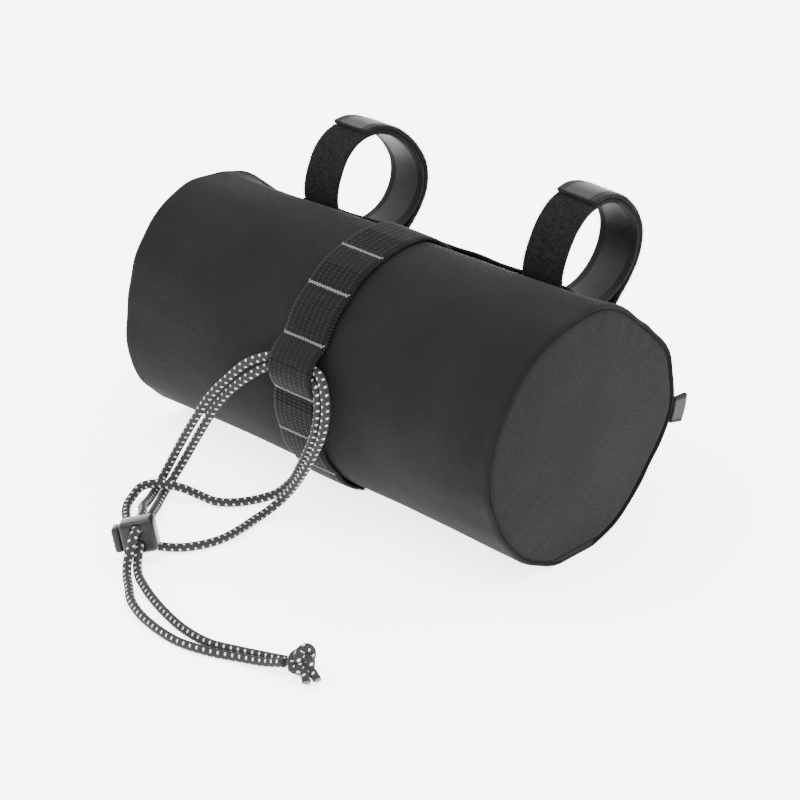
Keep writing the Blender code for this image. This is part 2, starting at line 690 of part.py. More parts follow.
def cord_knot(parts, cutters, material):
    """A lumpy ball of tied cord with two short cut tails."""
    mesh = bpy.data.meshes.new("cord_knot")
    body = bmesh.new()
    bmesh.ops.create_uvsphere(body, u_segments=14, v_segments=9, radius=KNOT_RADIUS)
    for vert in body.verts:
        direction = vert.co.normalized()
        turn = math.atan2(direction.y, direction.x)
        lump = 0.10 * math.cos(3 * turn + 4 * direction.z) * (1 - direction.z**2)
        vert.co *= 1 + lump
        vert.co.z *= 0.96
    bmesh.ops.translate(body, vec=KNOT_CENTRE, verts=body.verts)
    body.to_mesh(mesh)
    body.free()
    knot = add_object("cord_knot", mesh, parts, material)
    radius = CORD_DIAMETER / 2
    start = Vector(KNOT_CENTRE)
    for index, (across, down) in enumerate(((0.55, -0.42), (0.15, -0.60))):
        toward = Vector((0.9, across - 0.8, down)).normalized()
        name = f"tail_joiner_{index + 1}"
        mesh = bpy.data.meshes.new(name)
        tool = bmesh.new()
        length = KNOT_RADIUS + KNOT_TAIL_LENGTH
        bmesh.ops.create_cone(tool, cap_ends=True, segments=8, radius1=radius, radius2=radius, depth=length)
        bmesh.ops.translate(tool, vec=(0, 0, length / 2), verts=tool.verts)
        spin = toward.to_track_quat("Z", "Y").to_matrix()
        bmesh.ops.rotate(tool, matrix=spin, verts=tool.verts)
        bmesh.ops.translate(tool, vec=start, verts=tool.verts)
        tool.to_mesh(mesh)
        tool.free()
        boolean(knot, add_object(name, mesh, cutters), "UNION")
    return knot


def main():
    clear_scene()
    parts = new_collection("handlebar_bag")
    cutters = new_collection("cutters")
    cutters.hide_render = True

    cloth = make_material("body cloth", (0.030, 0.030, 0.031), 0.85)
    panel_cloth = make_material("end panel cloth", (0.040, 0.040, 0.041), 0.85)
    front_web = make_material("front webbing weave", (0.022, 0.022, 0.023), 0.7)
    rear_web = make_material("rear webbing weave", (0.020, 0.020, 0.021), 0.7)
    pile = make_material("strap pile", (0.014, 0.014, 0.015), 0.95)
    tape = make_material("tab tape", (0.025, 0.025, 0.026), 0.75)
    cord = make_material("flecked cord", (0.10, 0.10, 0.10), 0.75)
    lock_plastic = make_material("lock plastic", (0.022, 0.022, 0.024), 0.35)
    button_plastic = make_material("button plastic", (0.022, 0.022, 0.024), 0.4)

    body_tube(parts, cloth)
    end_panel("end_panel_right", 1, parts, panel_cloth)
    end_panel("end_panel_left", -1, parts, panel_cloth)
    front_webbing(parts, front_web)
    rear_webbing(parts, rear_web)
    for name in STRAPS:
        strap(name, parts, pile)
    end_tab(parts, tape)

    cord_lock(parts, cutters, lock_plastic, button_plastic)
    cord_tube("cord_loop", CORD_LOOP_ROUTE, (), parts, cord)
    for name, side, run, tail in (
        ("cord_run_a", 1, CORD_RUN_A_ROUTE, TAIL_A_ROUTE),
        ("cord_run_b", -1, CORD_RUN_B_ROUTE, TAIL_B_ROUTE),
    ):
        hole = hole_points(side)
        kept = (len(run), len(run) + len(hole) - 1)
        cord_tube(name, run + hole + tail, kept, parts, cord)
    cord_knot(parts, cutters, cord)


main()
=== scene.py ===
import math

import bmesh
import bpy
import numpy as np
from mathutils import Matrix, Vector, noise


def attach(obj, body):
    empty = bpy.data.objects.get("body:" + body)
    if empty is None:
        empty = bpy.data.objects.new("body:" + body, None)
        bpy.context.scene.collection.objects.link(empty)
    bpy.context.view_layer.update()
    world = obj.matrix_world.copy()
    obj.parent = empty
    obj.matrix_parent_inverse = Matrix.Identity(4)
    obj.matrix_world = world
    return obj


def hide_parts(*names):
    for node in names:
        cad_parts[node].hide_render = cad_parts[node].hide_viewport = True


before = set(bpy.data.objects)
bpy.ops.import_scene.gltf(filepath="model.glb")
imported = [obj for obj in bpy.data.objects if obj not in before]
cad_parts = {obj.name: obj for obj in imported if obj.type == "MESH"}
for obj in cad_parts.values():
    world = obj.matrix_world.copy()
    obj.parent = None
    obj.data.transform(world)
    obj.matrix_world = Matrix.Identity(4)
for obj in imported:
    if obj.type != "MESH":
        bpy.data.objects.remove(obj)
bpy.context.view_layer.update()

print("frame loaded:", len(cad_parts), "nodes")

# Lengths are in metres, angles round the bag in degrees from its top, positive towards the back.
bag = {
    "length": 0.229, "radius": 0.058, "floorFlat": 0.002, "wall": 0.002, "gap": 0.0003,
    "rimBand": 0.0036, "endReach": 0.36, "flatBlend": 0.10,
    "columns": 190, "sides": 224, "foldHeight": 0.00042, "foldScale": 26.0,
}
halfLength = bag["length"] / 2
axisHeight = bag["radius"] - bag["floorFlat"]
rearAngle = 44.0
rearNormal = Vector((0, math.sin(math.radians(rearAngle)), math.cos(math.radians(rearAngle))))
rearAcross = Vector((0, math.cos(math.radians(rearAngle)), -math.sin(math.radians(rearAngle))))
axisPoint = Vector((0, 0, axisHeight))

# The outlines of the two ends: angle, share of the radius
rightEnd = [(-160, 1.015), (-138, 1.030), (-112, 1.038), (-86, 1.066), (-62, 1.036), (-36, 1.038),
            (-14, 1.016), (12, 1.034), (40, 1.028), (62, 1.068), (80, 1.054), (98, 1.068),
            (112, 1.008), (127, 0.962), (148, 0.982), (175, 1.005)]
leftEnd = [(-150, 1.005), (-115, 1.018), (-80, 0.968), (-50, 1.012), (-20, 1.028), (5, 0.968),
           (30, 0.965), (62, 1.020), (100, 1.030), (140, 0.985), (175, 1.000)]
# The flat under the rear webbing: share of the length from the middle, share of the radius
rearFlatRows = [(-0.50, 0.925), (-0.455, 0.855), (-0.38, 0.830), (-0.25, 0.838), (-0.12, 0.860),
                (0.0, 0.882), (0.15, 0.896), (0.32, 0.902), (0.43, 0.925), (0.50, 0.985)]
# Soft dents: along, angle, reach along, reach in degrees, depth
dents = [(0.15, -98, 0.075, 20, 0.040), (-0.30, -128, 0.12, 24, 0.018),
         (0.30, 150, 0.16, 26, 0.022), (-0.15, 118, 0.15, 22, 0.030)]


# Shapes that several pieces follow
def ease(value):
    value = min(max(value, 0.0), 1.0)
    return value * value * (3 - 2 * value)


def smoothBetween(knots, values, place):
    if place <= knots[0]:
        return values[0]
    if place >= knots[-1]:
        return values[-1]
    i = min(int(np.searchsorted(knots, place, side="right")) - 1, len(knots) - 2)
    step = knots[i + 1] - knots[i]
    u = (place - knots[i]) / step

    def slope(k):
        low, high = max(k - 1, 0), min(k + 1, len(knots) - 1)
        return (values[high] - values[low]) / (knots[high] - knots[low]) * step

    return ((2 * u**3 - 3 * u**2 + 1) * values[i] + (u**3 - 2 * u**2 + u) * slope(i)
            + (3 * u**2 - 2 * u**3) * values[i + 1] + (u**3 - u**2) * slope(i + 1))


def endOutline(rows, angle):
    angles, shares = [row[0] for row in rows], [row[1] for row in rows]
    knots = [angles[-2] - 360, angles[-1] - 360] + angles + [angles[0] + 360, angles[1] + 360]
    return smoothBetween(knots, shares[-2:] + shares + shares[:2], (angle + 180) % 360 - 180)


def turnBetween(a, b):
    return (a - b + 180) % 360 - 180


def alongShare(x):
    edge = halfLength - bag["rimBand"] - bag["gap"]
    return math.copysign(0.5, x) if abs(x) > edge else x / bag["length"]


def rearFlat(x):
    places, shares = zip(*rearFlatRows)
    return bag["radius"] * smoothBetween(places, shares, alongShare(x))


def clothRadius(x, angle):
    along = alongShare(x)
    reach = bag["endReach"]
    share = 1 + ease((along - 0.5 + reach) / reach) * (endOutline(rightEnd, angle) - 1)
    share += ease((-along - 0.5 + reach) / reach) * (endOutline(leftEnd, angle) - 1)
    for place, turn, reachAlong, reachTurn, depth in dents:
        across = turnBetween(angle, turn) / reachTurn
        share -= depth * math.exp(-(((along - place) / reachAlong) ** 2) - across**2)
    radius = bag["radius"] * share
    off = math.cos(math.radians(turnBetween(angle, rearAngle)))
    if off > 0.1:
        flat = rearFlat(x) / off
        blend = bag["radius"] * bag["flatBlend"]
        mix = max(blend - abs(radius - flat), 0) / blend
        radius = min(radius, flat) - mix * mix * blend / 4
    return radius


def roundPoint(x, angle, radius):
    turn = math.radians(angle)
    return Vector((x, radius * math.sin(turn), axisHeight + radius * math.cos(turn)))


def smoothRoute(points, perSpan):
    points = [Vector(p) for p in points]
    padded = [2 * points[0] - points[1]] + points + [2 * points[-1] - points[-2]]
    line = []
    for i in range(1, len(padded) - 2):
        p0, p1, p2, p3 = padded[i - 1:i + 3]
        t0, t1 = 0.0, (p1 - p0).length ** 0.5
        t2 = t1 + (p2 - p1).length ** 0.5
        t3 = t2 + (p3 - p2).length ** 0.5
        for step in range(perSpan):
            t = t1 + (t2 - t1) * step / perSpan
            a1 = p0.lerp(p1, (t - t0) / (t1 - t0))
            a2 = p1.lerp(p2, (t - t1) / (t2 - t1))
            a3 = p2.lerp(p3, (t - t2) / (t3 - t2))
            b1 = a1.lerp(a2, (t - t0) / (t2 - t0))
            b2 = a2.lerp(a3, (t - t1) / (t3 - t1))
            line.append(b1.lerp(b2, (t - t1) / (t2 - t1)))
    return line + [points[-1]]


def evenSteps(points, step):
    array = np.array([tuple(p) for p in points])
    lengths = np.concatenate([[0], np.cumsum(np.linalg.norm(np.diff(array, axis=0), axis=1))])
    places = np.linspace(0, lengths[-1], max(2, round(lengths[-1] / step)) + 1)
    return [Vector([float(np.interp(s, lengths, array[:, k])) for k in range(3)]) for s in places]


# Mesh helpers
def linked(name, mesh, *materials):
    obj = bpy.data.objects.new(name, mesh)
    bpy.context.scene.collection.objects.link(obj)
    for material in materials:
        mesh.materials.append(material)
    return obj


def gridObject(name, rows, uvRows, materials, closed=False):
    across = len(rows[0])
    mesh = bpy.data.meshes.new(name)
    faces, corners = [], []
    for i in range(len(rows) - 1):
        for j in range(across if closed else across - 1):
            k = (j + 1) % across
            faces.append((i * across + j, (i + 1) * across + j, (i + 1) * across + k, i * across + k))
            last = j + 1
            corners += [uvRows[i][j], uvRows[i + 1][j], uvRows[i + 1][last], uvRows[i][last]]
    mesh.from_pydata([p for row in rows for p in row], [], faces)
    layer = mesh.uv_layers.new(name="cloth")
    layer.data.foreach_set("uv", np.array(corners, dtype=np.float32).ravel())
    mesh.shade_smooth()
    return linked(name, mesh, *materials)


def applied(obj):
    # The object with its modifiers made real, as a plain mesh
    graph = bpy.context.evaluated_depsgraph_get()
    made = obj.evaluated_get(graph)
    mesh = bpy.data.meshes.new_from_object(made, preserve_all_data_layers=True, depsgraph=graph)
    name = obj.name
    old = obj.data
    fresh = bpy.data.objects.new(name + ".real", mesh)
    bpy.context.scene.collection.objects.link(fresh)
    mesh.transform(obj.matrix_world)
    bpy.data.objects.remove(obj, do_unlink=True)
    if not old.users and isinstance(old, bpy.types.Mesh):
        bpy.data.meshes.remove(old)
    fresh.name = name
    return fresh


def solid(obj, thick, offset):
    wall = obj.modifiers.new("wall", "SOLIDIFY")
    wall.thickness = thick
    wall.offset = offset
    wall.use_even_offset = True
    return applied(obj)


def tubeMesh(name, path, radius, sides, material, relief=None):
    # A round tube along path; relief(along, around) gives how far its skin stands out
    rows, uvRows = [], []
    up = Vector((0.13, 0.21, 0.97))
    along = 0.0
    for i, point in enumerate(path):
        ahead = path[min(i + 1, len(path) - 1)] - path[max(i - 1, 0)]
        ahead.normalize()
        side = ahead.cross(up).normalized()
        up = side.cross(ahead).normalized()
        if i:
            along += (point - path[i - 1]).length
        row = []
        for j in range(sides):
            turn = j / sides
            reach = radius + (relief(along, turn) if relief else 0)
            row.append(point + (side * math.cos(turn * math.tau) + up * math.sin(turn * math.tau)) * reach)
        rows.append(row)
        uvRows.append([(along, j / sides) for j in range(sides + 1)])
    obj = gridObject(name, rows, uvRows, [material], closed=True)
    body = bmesh.new()
    body.from_mesh(obj.data)
    bmesh.ops.holes_fill(body, edges=[e for e in body.edges if e.is_boundary])
    bmesh.ops.recalc_face_normals(body, faces=body.faces)
    body.to_mesh(obj.data)
    body.free()
    return obj


# Shader groups
def newGroup(name, inputs, outputs):
    group = bpy.data.node_groups.new(name, "ShaderNodeTree")
    for label, kind, value in inputs:
        socket = group.interface.new_socket(label, in_out="INPUT", socket_type=kind)
        if value is not None:
            socket.default_value = value
    for label, kind in outputs:
        group.interface.new_socket(label, in_out="OUTPUT", socket_type=kind)
    return group, group.nodes.new("NodeGroupInput"), group.nodes.new("NodeGroupOutput")


def feed(tree, socket, value):
    if isinstance(value, bpy.types.NodeSocket):
        tree.links.new(value, socket)
    elif value is not None:
        socket.default_value = value


def maths(tree, operation, a, b=None, c=None):
    node = tree.nodes.new("ShaderNodeMath")
    node.operation = operation
    for socket, value in zip(node.inputs, (a, b, c)):
        feed(tree, socket, value)
    return node.outputs[0]


def noiseNode(tree, vector, scale, detail=2.0, roughness=0.5):
    node = tree.nodes.new("ShaderNodeTexNoise")
    feed(tree, node.inputs["Vector"], vector)
    feed(tree, node.inputs["Scale"], scale)
    node.inputs["Detail"].default_value = detail
    node.inputs["Roughness"].default_value = roughness
    return node.outputs["Fac"]


def stepBetween(tree, value, low, high, outLow=0.0, outHigh=1.0):
    node = tree.nodes.new("ShaderNodeMapRange")
    node.interpolation_type = "SMOOTHSTEP"
    for socket, item in zip(node.inputs, (value, low, high, outLow, outHigh)):
        feed(tree, socket, item)
    return node.outputs["Result"]


def sine(tree, value):
    wave = maths(tree, "SINE", maths(tree, "MULTIPLY", value, math.tau))
    return maths(tree, "MULTIPLY_ADD", wave, 0.5, 0.5)


def splitVector(tree, vector):
    node = tree.nodes.new("ShaderNodeSeparateXYZ")
    feed(tree, node.inputs[0], vector)
    return node.outputs[0], node.outputs[1]


def mixColour(tree, factor, a, b):
    node = tree.nodes.new("ShaderNodeMix")
    node.data_type = "RGBA"
    feed(tree, node.inputs["Factor"], factor)
    sockets = [s for s in node.inputs if s.type == "RGBA"]
    feed(tree, sockets[0], (*a, 1) if isinstance(a, tuple) else a)
    feed(tree, sockets[1], (*b, 1) if isinstance(b, tuple) else b)
    return [s for s in node.outputs if s.type == "RGBA"][0]


def weaveGroup():
    # Fine slanted threads with uneven fibres
    tree, given, result = newGroup(
        "twillWeave",
        [("Vector", "NodeSocketVector", None), ("Pitch", "NodeSocketFloat", 0.0009),
         ("Slant", "NodeSocketFloat", 0.35), ("Uneven", "NodeSocketFloat", 0.35)],
        [("Shade", "NodeSocketFloat"), ("Height", "NodeSocketFloat")])
    u, v = splitVector(tree, given.outputs["Vector"])
    u = maths(tree, "DIVIDE", u, given.outputs["Pitch"])
    v = maths(tree, "DIVIDE", v, given.outputs["Pitch"])
    fine = noiseNode(tree, given.outputs["Vector"], 1500.0, 3.0, 0.7)
    jitter = maths(tree, "MULTIPLY", maths(tree, "SUBTRACT", fine, 0.5), given.outputs["Uneven"])
    slanted = maths(tree, "ADD", maths(tree, "MULTIPLY_ADD", u, given.outputs["Slant"], v), jitter)
    lines = sine(tree, slanted)
    cross = sine(tree, maths(tree, "MULTIPLY_ADD", slanted, 0.5, u))
    height = maths(tree, "MULTIPLY_ADD", cross, 0.45, maths(tree, "MULTIPLY", lines, 0.55))
    shade = maths(tree, "MULTIPLY_ADD", fine, 0.9, maths(tree, "MULTIPLY", height, 0.35))
    tree.links.new(maths(tree, "SUBTRACT", shade, 0.12), result.inputs["Shade"])
    tree.links.new(maths(tree, "MULTIPLY_ADD", fine, 0.5, height), result.inputs["Height"])
    return tree


def ribGroup():
    # Webbing: ribs across it, split into columns of yarn
    tree, given, result = newGroup(
        "webbingRibs",
        [("Vector", "NodeSocketVector", None), ("Rib", "NodeSocketFloat", 0.0016),
         ("Column", "NodeSocketFloat", 0.0015)],
        [("Shade", "NodeSocketFloat"), ("Height", "NodeSocketFloat")])
    u, v = splitVector(tree, given.outputs["Vector"])
    fine = noiseNode(tree, given.outputs["Vector"], 1300.0, 2.0, 0.7)
    column = maths(tree, "DIVIDE", u, given.outputs["Column"])
    shift = maths(tree, "MULTIPLY", maths(tree, "FLOOR", column), 0.5)
    rib = maths(tree, "ADD", maths(tree, "DIVIDE", v, given.outputs["Rib"]), shift)
    yarn = sine(tree, maths(tree, "SUBTRACT", column, 0.25))
    across = maths(tree, "POWER", sine(tree, rib), 0.6)
    height = maths(tree, "MULTIPLY", across, maths(tree, "MULTIPLY_ADD", yarn, 0.6, 0.4))
    shade = maths(tree, "MULTIPLY_ADD", fine, 0.45, maths(tree, "MULTIPLY", height, 0.75))
    tree.links.new(shade, result.inputs["Shade"])
    tree.links.new(maths(tree, "MULTIPLY_ADD", fine, 0.3, height), result.inputs["Height"])
    return tree


def fleckGroup():
    # Braided sheath: u runs along the cord in metres, v once round it
    tree, given, result = newGroup(
        "fleckedBraid",
        [("Vector", "NodeSocketVector", None), ("Pitch", "NodeSocketFloat", 0.0032),
         ("Rows", "NodeSocketFloat", 4.0), ("Size", "NodeSocketFloat", 1.0)],
        [("Fleck", "NodeSocketFloat"), ("Height", "NodeSocketFloat"), ("Fibre", "NodeSocketFloat")])
    u, v = splitVector(tree, given.outputs["Vector"])
    ring = maths(tree, "MULTIPLY", v, given.outputs["Rows"])
    row = maths(tree, "FLOOR", ring)
    along = maths(tree, "MULTIPLY_ADD", row, 0.5, maths(tree, "DIVIDE", u, given.outputs["Pitch"]))
    du = maths(tree, "SUBTRACT", maths(tree, "FRACT", along), 0.5)
    dv = maths(tree, "SUBTRACT", maths(tree, "FRACT", ring), 0.5)
    du = maths(tree, "MULTIPLY_ADD", dv, 0.16, du)
    du = maths(tree, "POWER", maths(tree, "ABSOLUTE", maths(tree, "MULTIPLY", du, 4.9)), 2.0)
    dv = maths(tree, "POWER", maths(tree, "ABSOLUTE", maths(tree, "MULTIPLY", dv, 2.7)), 2.0)
    far = maths(tree, "ADD", du, dv)
    fleck = stepBetween(tree, maths(tree, "DIVIDE", far, given.outputs["Size"]), 0.72, 1.15, 1.0, 0.0)
    braidA = sine(tree, maths(tree, "MULTIPLY_ADD", v, 8.0, maths(tree, "MULTIPLY", u, 640.0)))
    braidB = sine(tree, maths(tree, "MULTIPLY_ADD", v, -8.0, maths(tree, "MULTIPLY", u, 640.0)))
    braid = maths(tree, "MAXIMUM", braidA, braidB)
    scaled = tree.nodes.new("ShaderNodeVectorMath")
    scaled.operation = "MULTIPLY"
    tree.links.new(given.outputs["Vector"], scaled.inputs[0])
    scaled.inputs[1].default_value = (1, 0.0126, 1)
    fibre = noiseNode(tree, scaled.outputs[0], 2600.0, 2.0, 0.7)
    tree.links.new(fleck, result.inputs["Fleck"])
    tree.links.new(maths(tree, "MULTIPLY_ADD", fleck, 0.5, braid), result.inputs["Height"])
    tree.links.new(fibre, result.inputs["Fibre"])
    return tree


def dustGroup():
    # Faint lighter patches and specks of lint
    tree, given, result = newGroup(
        "dustAndLint",
        [("Vector", "NodeSocketVector", None), ("Patch", "NodeSocketFloat", 22.0),
         ("Lint", "NodeSocketFloat", 0.69)],
        [("Dust", "NodeSocketFloat"), ("Specks", "NodeSocketFloat")])
    broad = noiseNode(tree, given.outputs["Vector"], given.outputs["Patch"], 4.0, 0.6)
    specks = noiseNode(tree, given.outputs["Vector"], 420.0, 3.0, 0.75)
    tree.links.new(stepBetween(tree, broad, 0.35, 0.75), result.inputs["Dust"])
    tree.links.new(stepBetween(tree, specks, given.outputs["Lint"], 0.82), result.inputs["Specks"])
    return tree


groups = {"weave": weaveGroup(), "rib": ribGroup(), "fleck": fleckGroup(), "dust": dustGroup()}


def newMaterial(name, roughness, sheen=0.0, specular=0.03):
    material = bpy.data.materials.new(name)
    material.use_nodes = True
    shader = material.node_tree.nodes["Principled BSDF"]
    shader.inputs["Roughness"].default_value = roughness
    shader.inputs["Specular IOR Level"].default_value = specular
    shader.inputs["Sheen Weight"].default_value = sheen
    shader.inputs["Sheen Roughness"].default_value = 0.5
    return material, material.node_tree, shader


def placed(tree, key, vector, **values):
    node = tree.nodes.new("ShaderNodeGroup")
    node.node_tree = groups[key]
    tree.links.new(vector, node.inputs["Vector"])
    for label, value in values.items():
        node.inputs[label].default_value = value
    return node


def coordinate(tree, kind):
    return tree.nodes.new("ShaderNodeTexCoord").outputs[kind]


def bumpTo(tree, shader, height, strength, distance):
    node = tree.nodes.new("ShaderNodeBump")
    node.inputs["Strength"].default_value = strength
    node.inputs["Distance"].default_value = distance
    tree.links.new(height, node.inputs["Height"])
    tree.links.new(node.outputs["Normal"], shader.inputs["Normal"])


def clothMaterial(name, dark, light, dusty, pitch, slant, roughness, sheen, depth):
    material, tree, shader = newMaterial(name, roughness, sheen)
    uv = coordinate(tree, "UV")
    weave = placed(tree, "weave", uv, Pitch=pitch, Slant=slant)
    dust = placed(tree, "dust", coordinate(tree, "Object"))
    colour = mixColour(tree, weave.outputs["Shade"], dark, light)
    colour = mixColour(tree, maths(tree, "MULTIPLY", dust.outputs["Dust"], 0.35), colour, dusty)
    colour = mixColour(tree, maths(tree, "MULTIPLY", dust.outputs["Specks"], 0.3), colour, dusty)
    tree.links.new(colour, shader.inputs["Base Color"])
    uneven = stepBetween(tree, weave.outputs["Shade"], 0.0, 1.0, roughness + 0.08, roughness - 0.1)
    tree.links.new(uneven, shader.inputs["Roughness"])
    bumpTo(tree, shader, weave.outputs["Height"], 0.6, depth)
    return material


def webbingMaterial(name, dark, light):
    material, tree, shader = newMaterial(name, 0.6, 0.01, 0.05)
    rib = placed(tree, "rib", coordinate(tree, "UV"))
    dust = placed(tree, "dust", coordinate(tree, "Object"))
    colour = mixColour(tree, rib.outputs["Shade"], dark, light)
    colour = mixColour(tree, maths(tree, "MULTIPLY", dust.outputs["Dust"], 0.25), colour, light)
    tree.links.new(colour, shader.inputs["Base Color"])
    tree.links.new(stepBetween(tree, rib.outputs["Height"], 0.0, 1.0, 0.72, 0.5), shader.inputs["Roughness"])
    bumpTo(tree, shader, rib.outputs["Height"], 0.8, 0.0003)
    return material


def pileMaterial(name, dark, light, scale, depth):
    material, tree, shader = newMaterial(name, 0.95, 0.04, 0.04)
    place = coordinate(tree, "Object")
    curls = noiseNode(tree, place, scale, 3.0, 0.8)
    colour = mixColour(tree, stepBetween(tree, curls, 0.38, 0.68), dark, light)
    tree.links.new(colour, shader.inputs["Base Color"])
    bumpTo(tree, shader, curls, 1.0, depth)
    return material


def tapeMaterial(name, dark, light, edge):
    # Smooth tape with a woven border down each side; u runs across the strap in metres
    material, tree, shader = newMaterial(name, 0.55, 0.02, 0.15)
    uv = coordinate(tree, "UV")
    u, v = splitVector(tree, uv)
    weave = placed(tree, "weave", uv, Pitch=0.0007, Slant=0.0, Uneven=0.2)
    border = stepBetween(tree, maths(tree, "ABSOLUTE", u), edge - 0.0004, edge + 0.0004)
    hooks = noiseNode(tree, uv, 1700.0, 2.0, 0.7)
    smooth = mixColour(tree, weave.outputs["Shade"], dark, light)
    speckled = mixColour(tree, stepBetween(tree, hooks, 0.45, 0.62), tuple(0.35 * c for c in dark), light)
    tree.links.new(mixColour(tree, border, smooth, speckled), shader.inputs["Base Color"])
    tree.links.new(stepBetween(tree, border, 0.0, 1.0, 0.5, 0.8), shader.inputs["Roughness"])
    bumpTo(tree, shader, maths(tree, "ADD", weave.outputs["Height"], border), 0.5, 0.0002)
    return material


def threadMaterial(name, dark, light):
    material, tree, shader = newMaterial(name, 0.6, 0.03)
    strands = noiseNode(tree, coordinate(tree, "Object"), 3000.0, 2.0, 0.7)
    tree.links.new(mixColour(tree, strands, dark, light), shader.inputs["Base Color"])
    bumpTo(tree, shader, strands, 0.5, 0.0001)
    return material


def cordMaterial(name, dark, light, pale, dull):
    material, tree, shader = newMaterial(name, 0.7, 0.04)
    braid = placed(tree, "fleck", coordinate(tree, "UV"), Size=0.55)
    base = mixColour(tree, braid.outputs["Height"], dark, light)
    base = mixColour(tree, maths(tree, "MULTIPLY", braid.outputs["Fibre"], 0.4), base, light)
    white = mixColour(tree, braid.outputs["Fibre"], pale, dull)
    tree.links.new(mixColour(tree, braid.outputs["Fleck"], base, white), shader.inputs["Base Color"])
    tree.links.new(stepBetween(tree, braid.outputs["Fleck"], 0, 1, 0.78, 0.55), shader.inputs["Roughness"])
    bumpTo(tree, shader, maths(tree, "ADD", braid.outputs["Height"], braid.outputs["Fibre"]), 0.6, 0.0002)
    return material


def plasticMaterial(name, colour, worn, roughness):
    material, tree, shader = newMaterial(name, roughness, 0.0, 0.2)
    place = coordinate(tree, "Object")
    grain = noiseNode(tree, place, 2600.0, 2.0, 0.6)
    smears = noiseNode(tree, place, 160.0, 3.0, 0.6)
    dust = placed(tree, "dust", place, Lint=0.66)
    specks = maths(tree, "MULTIPLY", dust.outputs["Specks"], 0.5)
    tree.links.new(mixColour(tree, specks, colour, worn), shader.inputs["Base Color"])
    uneven = stepBetween(tree, smears, 0.3, 0.7, roughness - 0.07, roughness + 0.1)
    tree.links.new(uneven, shader.inputs["Roughness"])
    bumpTo(tree, shader, grain, 0.25, 0.00008)
    return material


finish = {
    "body": clothMaterial(
        "bodyTwill", (0.0016, 0.0016, 0.0018), (0.0085, 0.0085, 0.0088), (0.010, 0.010, 0.0103),
        0.00105, 0.22, 0.82, 0.02, 0.00026),
    "panel": clothMaterial(
        "panelTwill", (0.0028, 0.0028, 0.0029), (0.011, 0.011, 0.0113), (0.0125, 0.0125, 0.0128),
        0.00105, 0.22, 0.82, 0.02, 0.00026),
    "lining": clothMaterial(
        "innerCloth", (0.012, 0.012, 0.013), (0.025, 0.025, 0.026), (0.026, 0.026, 0.026),
        0.0008, 0.0, 0.8, 0.1, 0.0001),
    "webbing": webbingMaterial("ribbedWebbing", (0.0008, 0.0008, 0.0009), (0.0055, 0.0055, 0.0057)),
    "pile": pileMaterial("loopPile", (0.001, 0.001, 0.0012), (0.012, 0.012, 0.0125), 900.0, 0.0008),
    "fibre": threadMaterial("pileFibre", (0.002, 0.002, 0.0022), (0.017, 0.017, 0.0175)),
    "tape": tapeMaterial("hookTape", (0.0025, 0.0025, 0.0027), (0.0075, 0.0075, 0.0078), 0.0072),
    "tab": tapeMaterial("foldedTape", (0.002, 0.002, 0.0022), (0.006, 0.006, 0.0063), 0.0040),
    "bar": threadMaterial("barThread", (0.05, 0.05, 0.05), (0.13, 0.13, 0.13)),
    "selvage": threadMaterial("selvageThread", (0.003, 0.003, 0.0033), (0.015, 0.015, 0.0155)),
    "cord": cordMaterial(
        "fleckedCord", (0.006, 0.006, 0.007), (0.024, 0.024, 0.026), (0.50, 0.50, 0.52), (0.32, 0.32, 0.35)),
    "fray": threadMaterial("cutCordFibre", (0.03, 0.03, 0.033), (0.42, 0.41, 0.40)),
    "lock": plasticMaterial("satinPlastic", (0.003, 0.003, 0.0034), (0.014, 0.014, 0.014), 0.34),
}
print("materials made")


# Geometry Nodes: threads, beads and fibres that follow a line or a surface
def nodeTree(name, sockets):
    tree = bpy.data.node_groups.new(name, "GeometryNodeTree")
    tree.interface.new_socket("Geometry", in_out="INPUT", socket_type="NodeSocketGeometry")
    for label, kind, value in sockets:
        socket = tree.interface.new_socket(label, in_out="INPUT", socket_type=kind)
        if value is not None:
            socket.default_value = value
    tree.interface.new_socket("Geometry", in_out="OUTPUT", socket_type="NodeSocketGeometry")
    return tree, tree.nodes.new("NodeGroupInput"), tree.nodes.new("NodeGroupOutput")


def paintedCopies(tree, given, result, points, shape, rotation, scales):
    size = tree.nodes.new("ShaderNodeCombineXYZ")
    for socket, label in zip(size.inputs, scales):
        tree.links.new(given.outputs[label], socket)
    copies = tree.nodes.new("GeometryNodeInstanceOnPoints")
    tree.links.new(points, copies.inputs["Points"])
    tree.links.new(shape, copies.inputs["Instance"])
    tree.links.new(rotation, copies.inputs["Rotation"])
    tree.links.new(size.outputs[0], copies.inputs["Scale"])
    real = tree.nodes.new("GeometryNodeRealizeInstances")
    tree.links.new(copies.outputs[0], real.inputs[0])
    paint = tree.nodes.new("GeometryNodeSetMaterial")
    tree.links.new(real.outputs[0], paint.inputs["Geometry"])
    tree.links.new(given.outputs["Material"], paint.inputs["Material"])
    tree.links.new(paint.outputs[0], result.inputs[0])


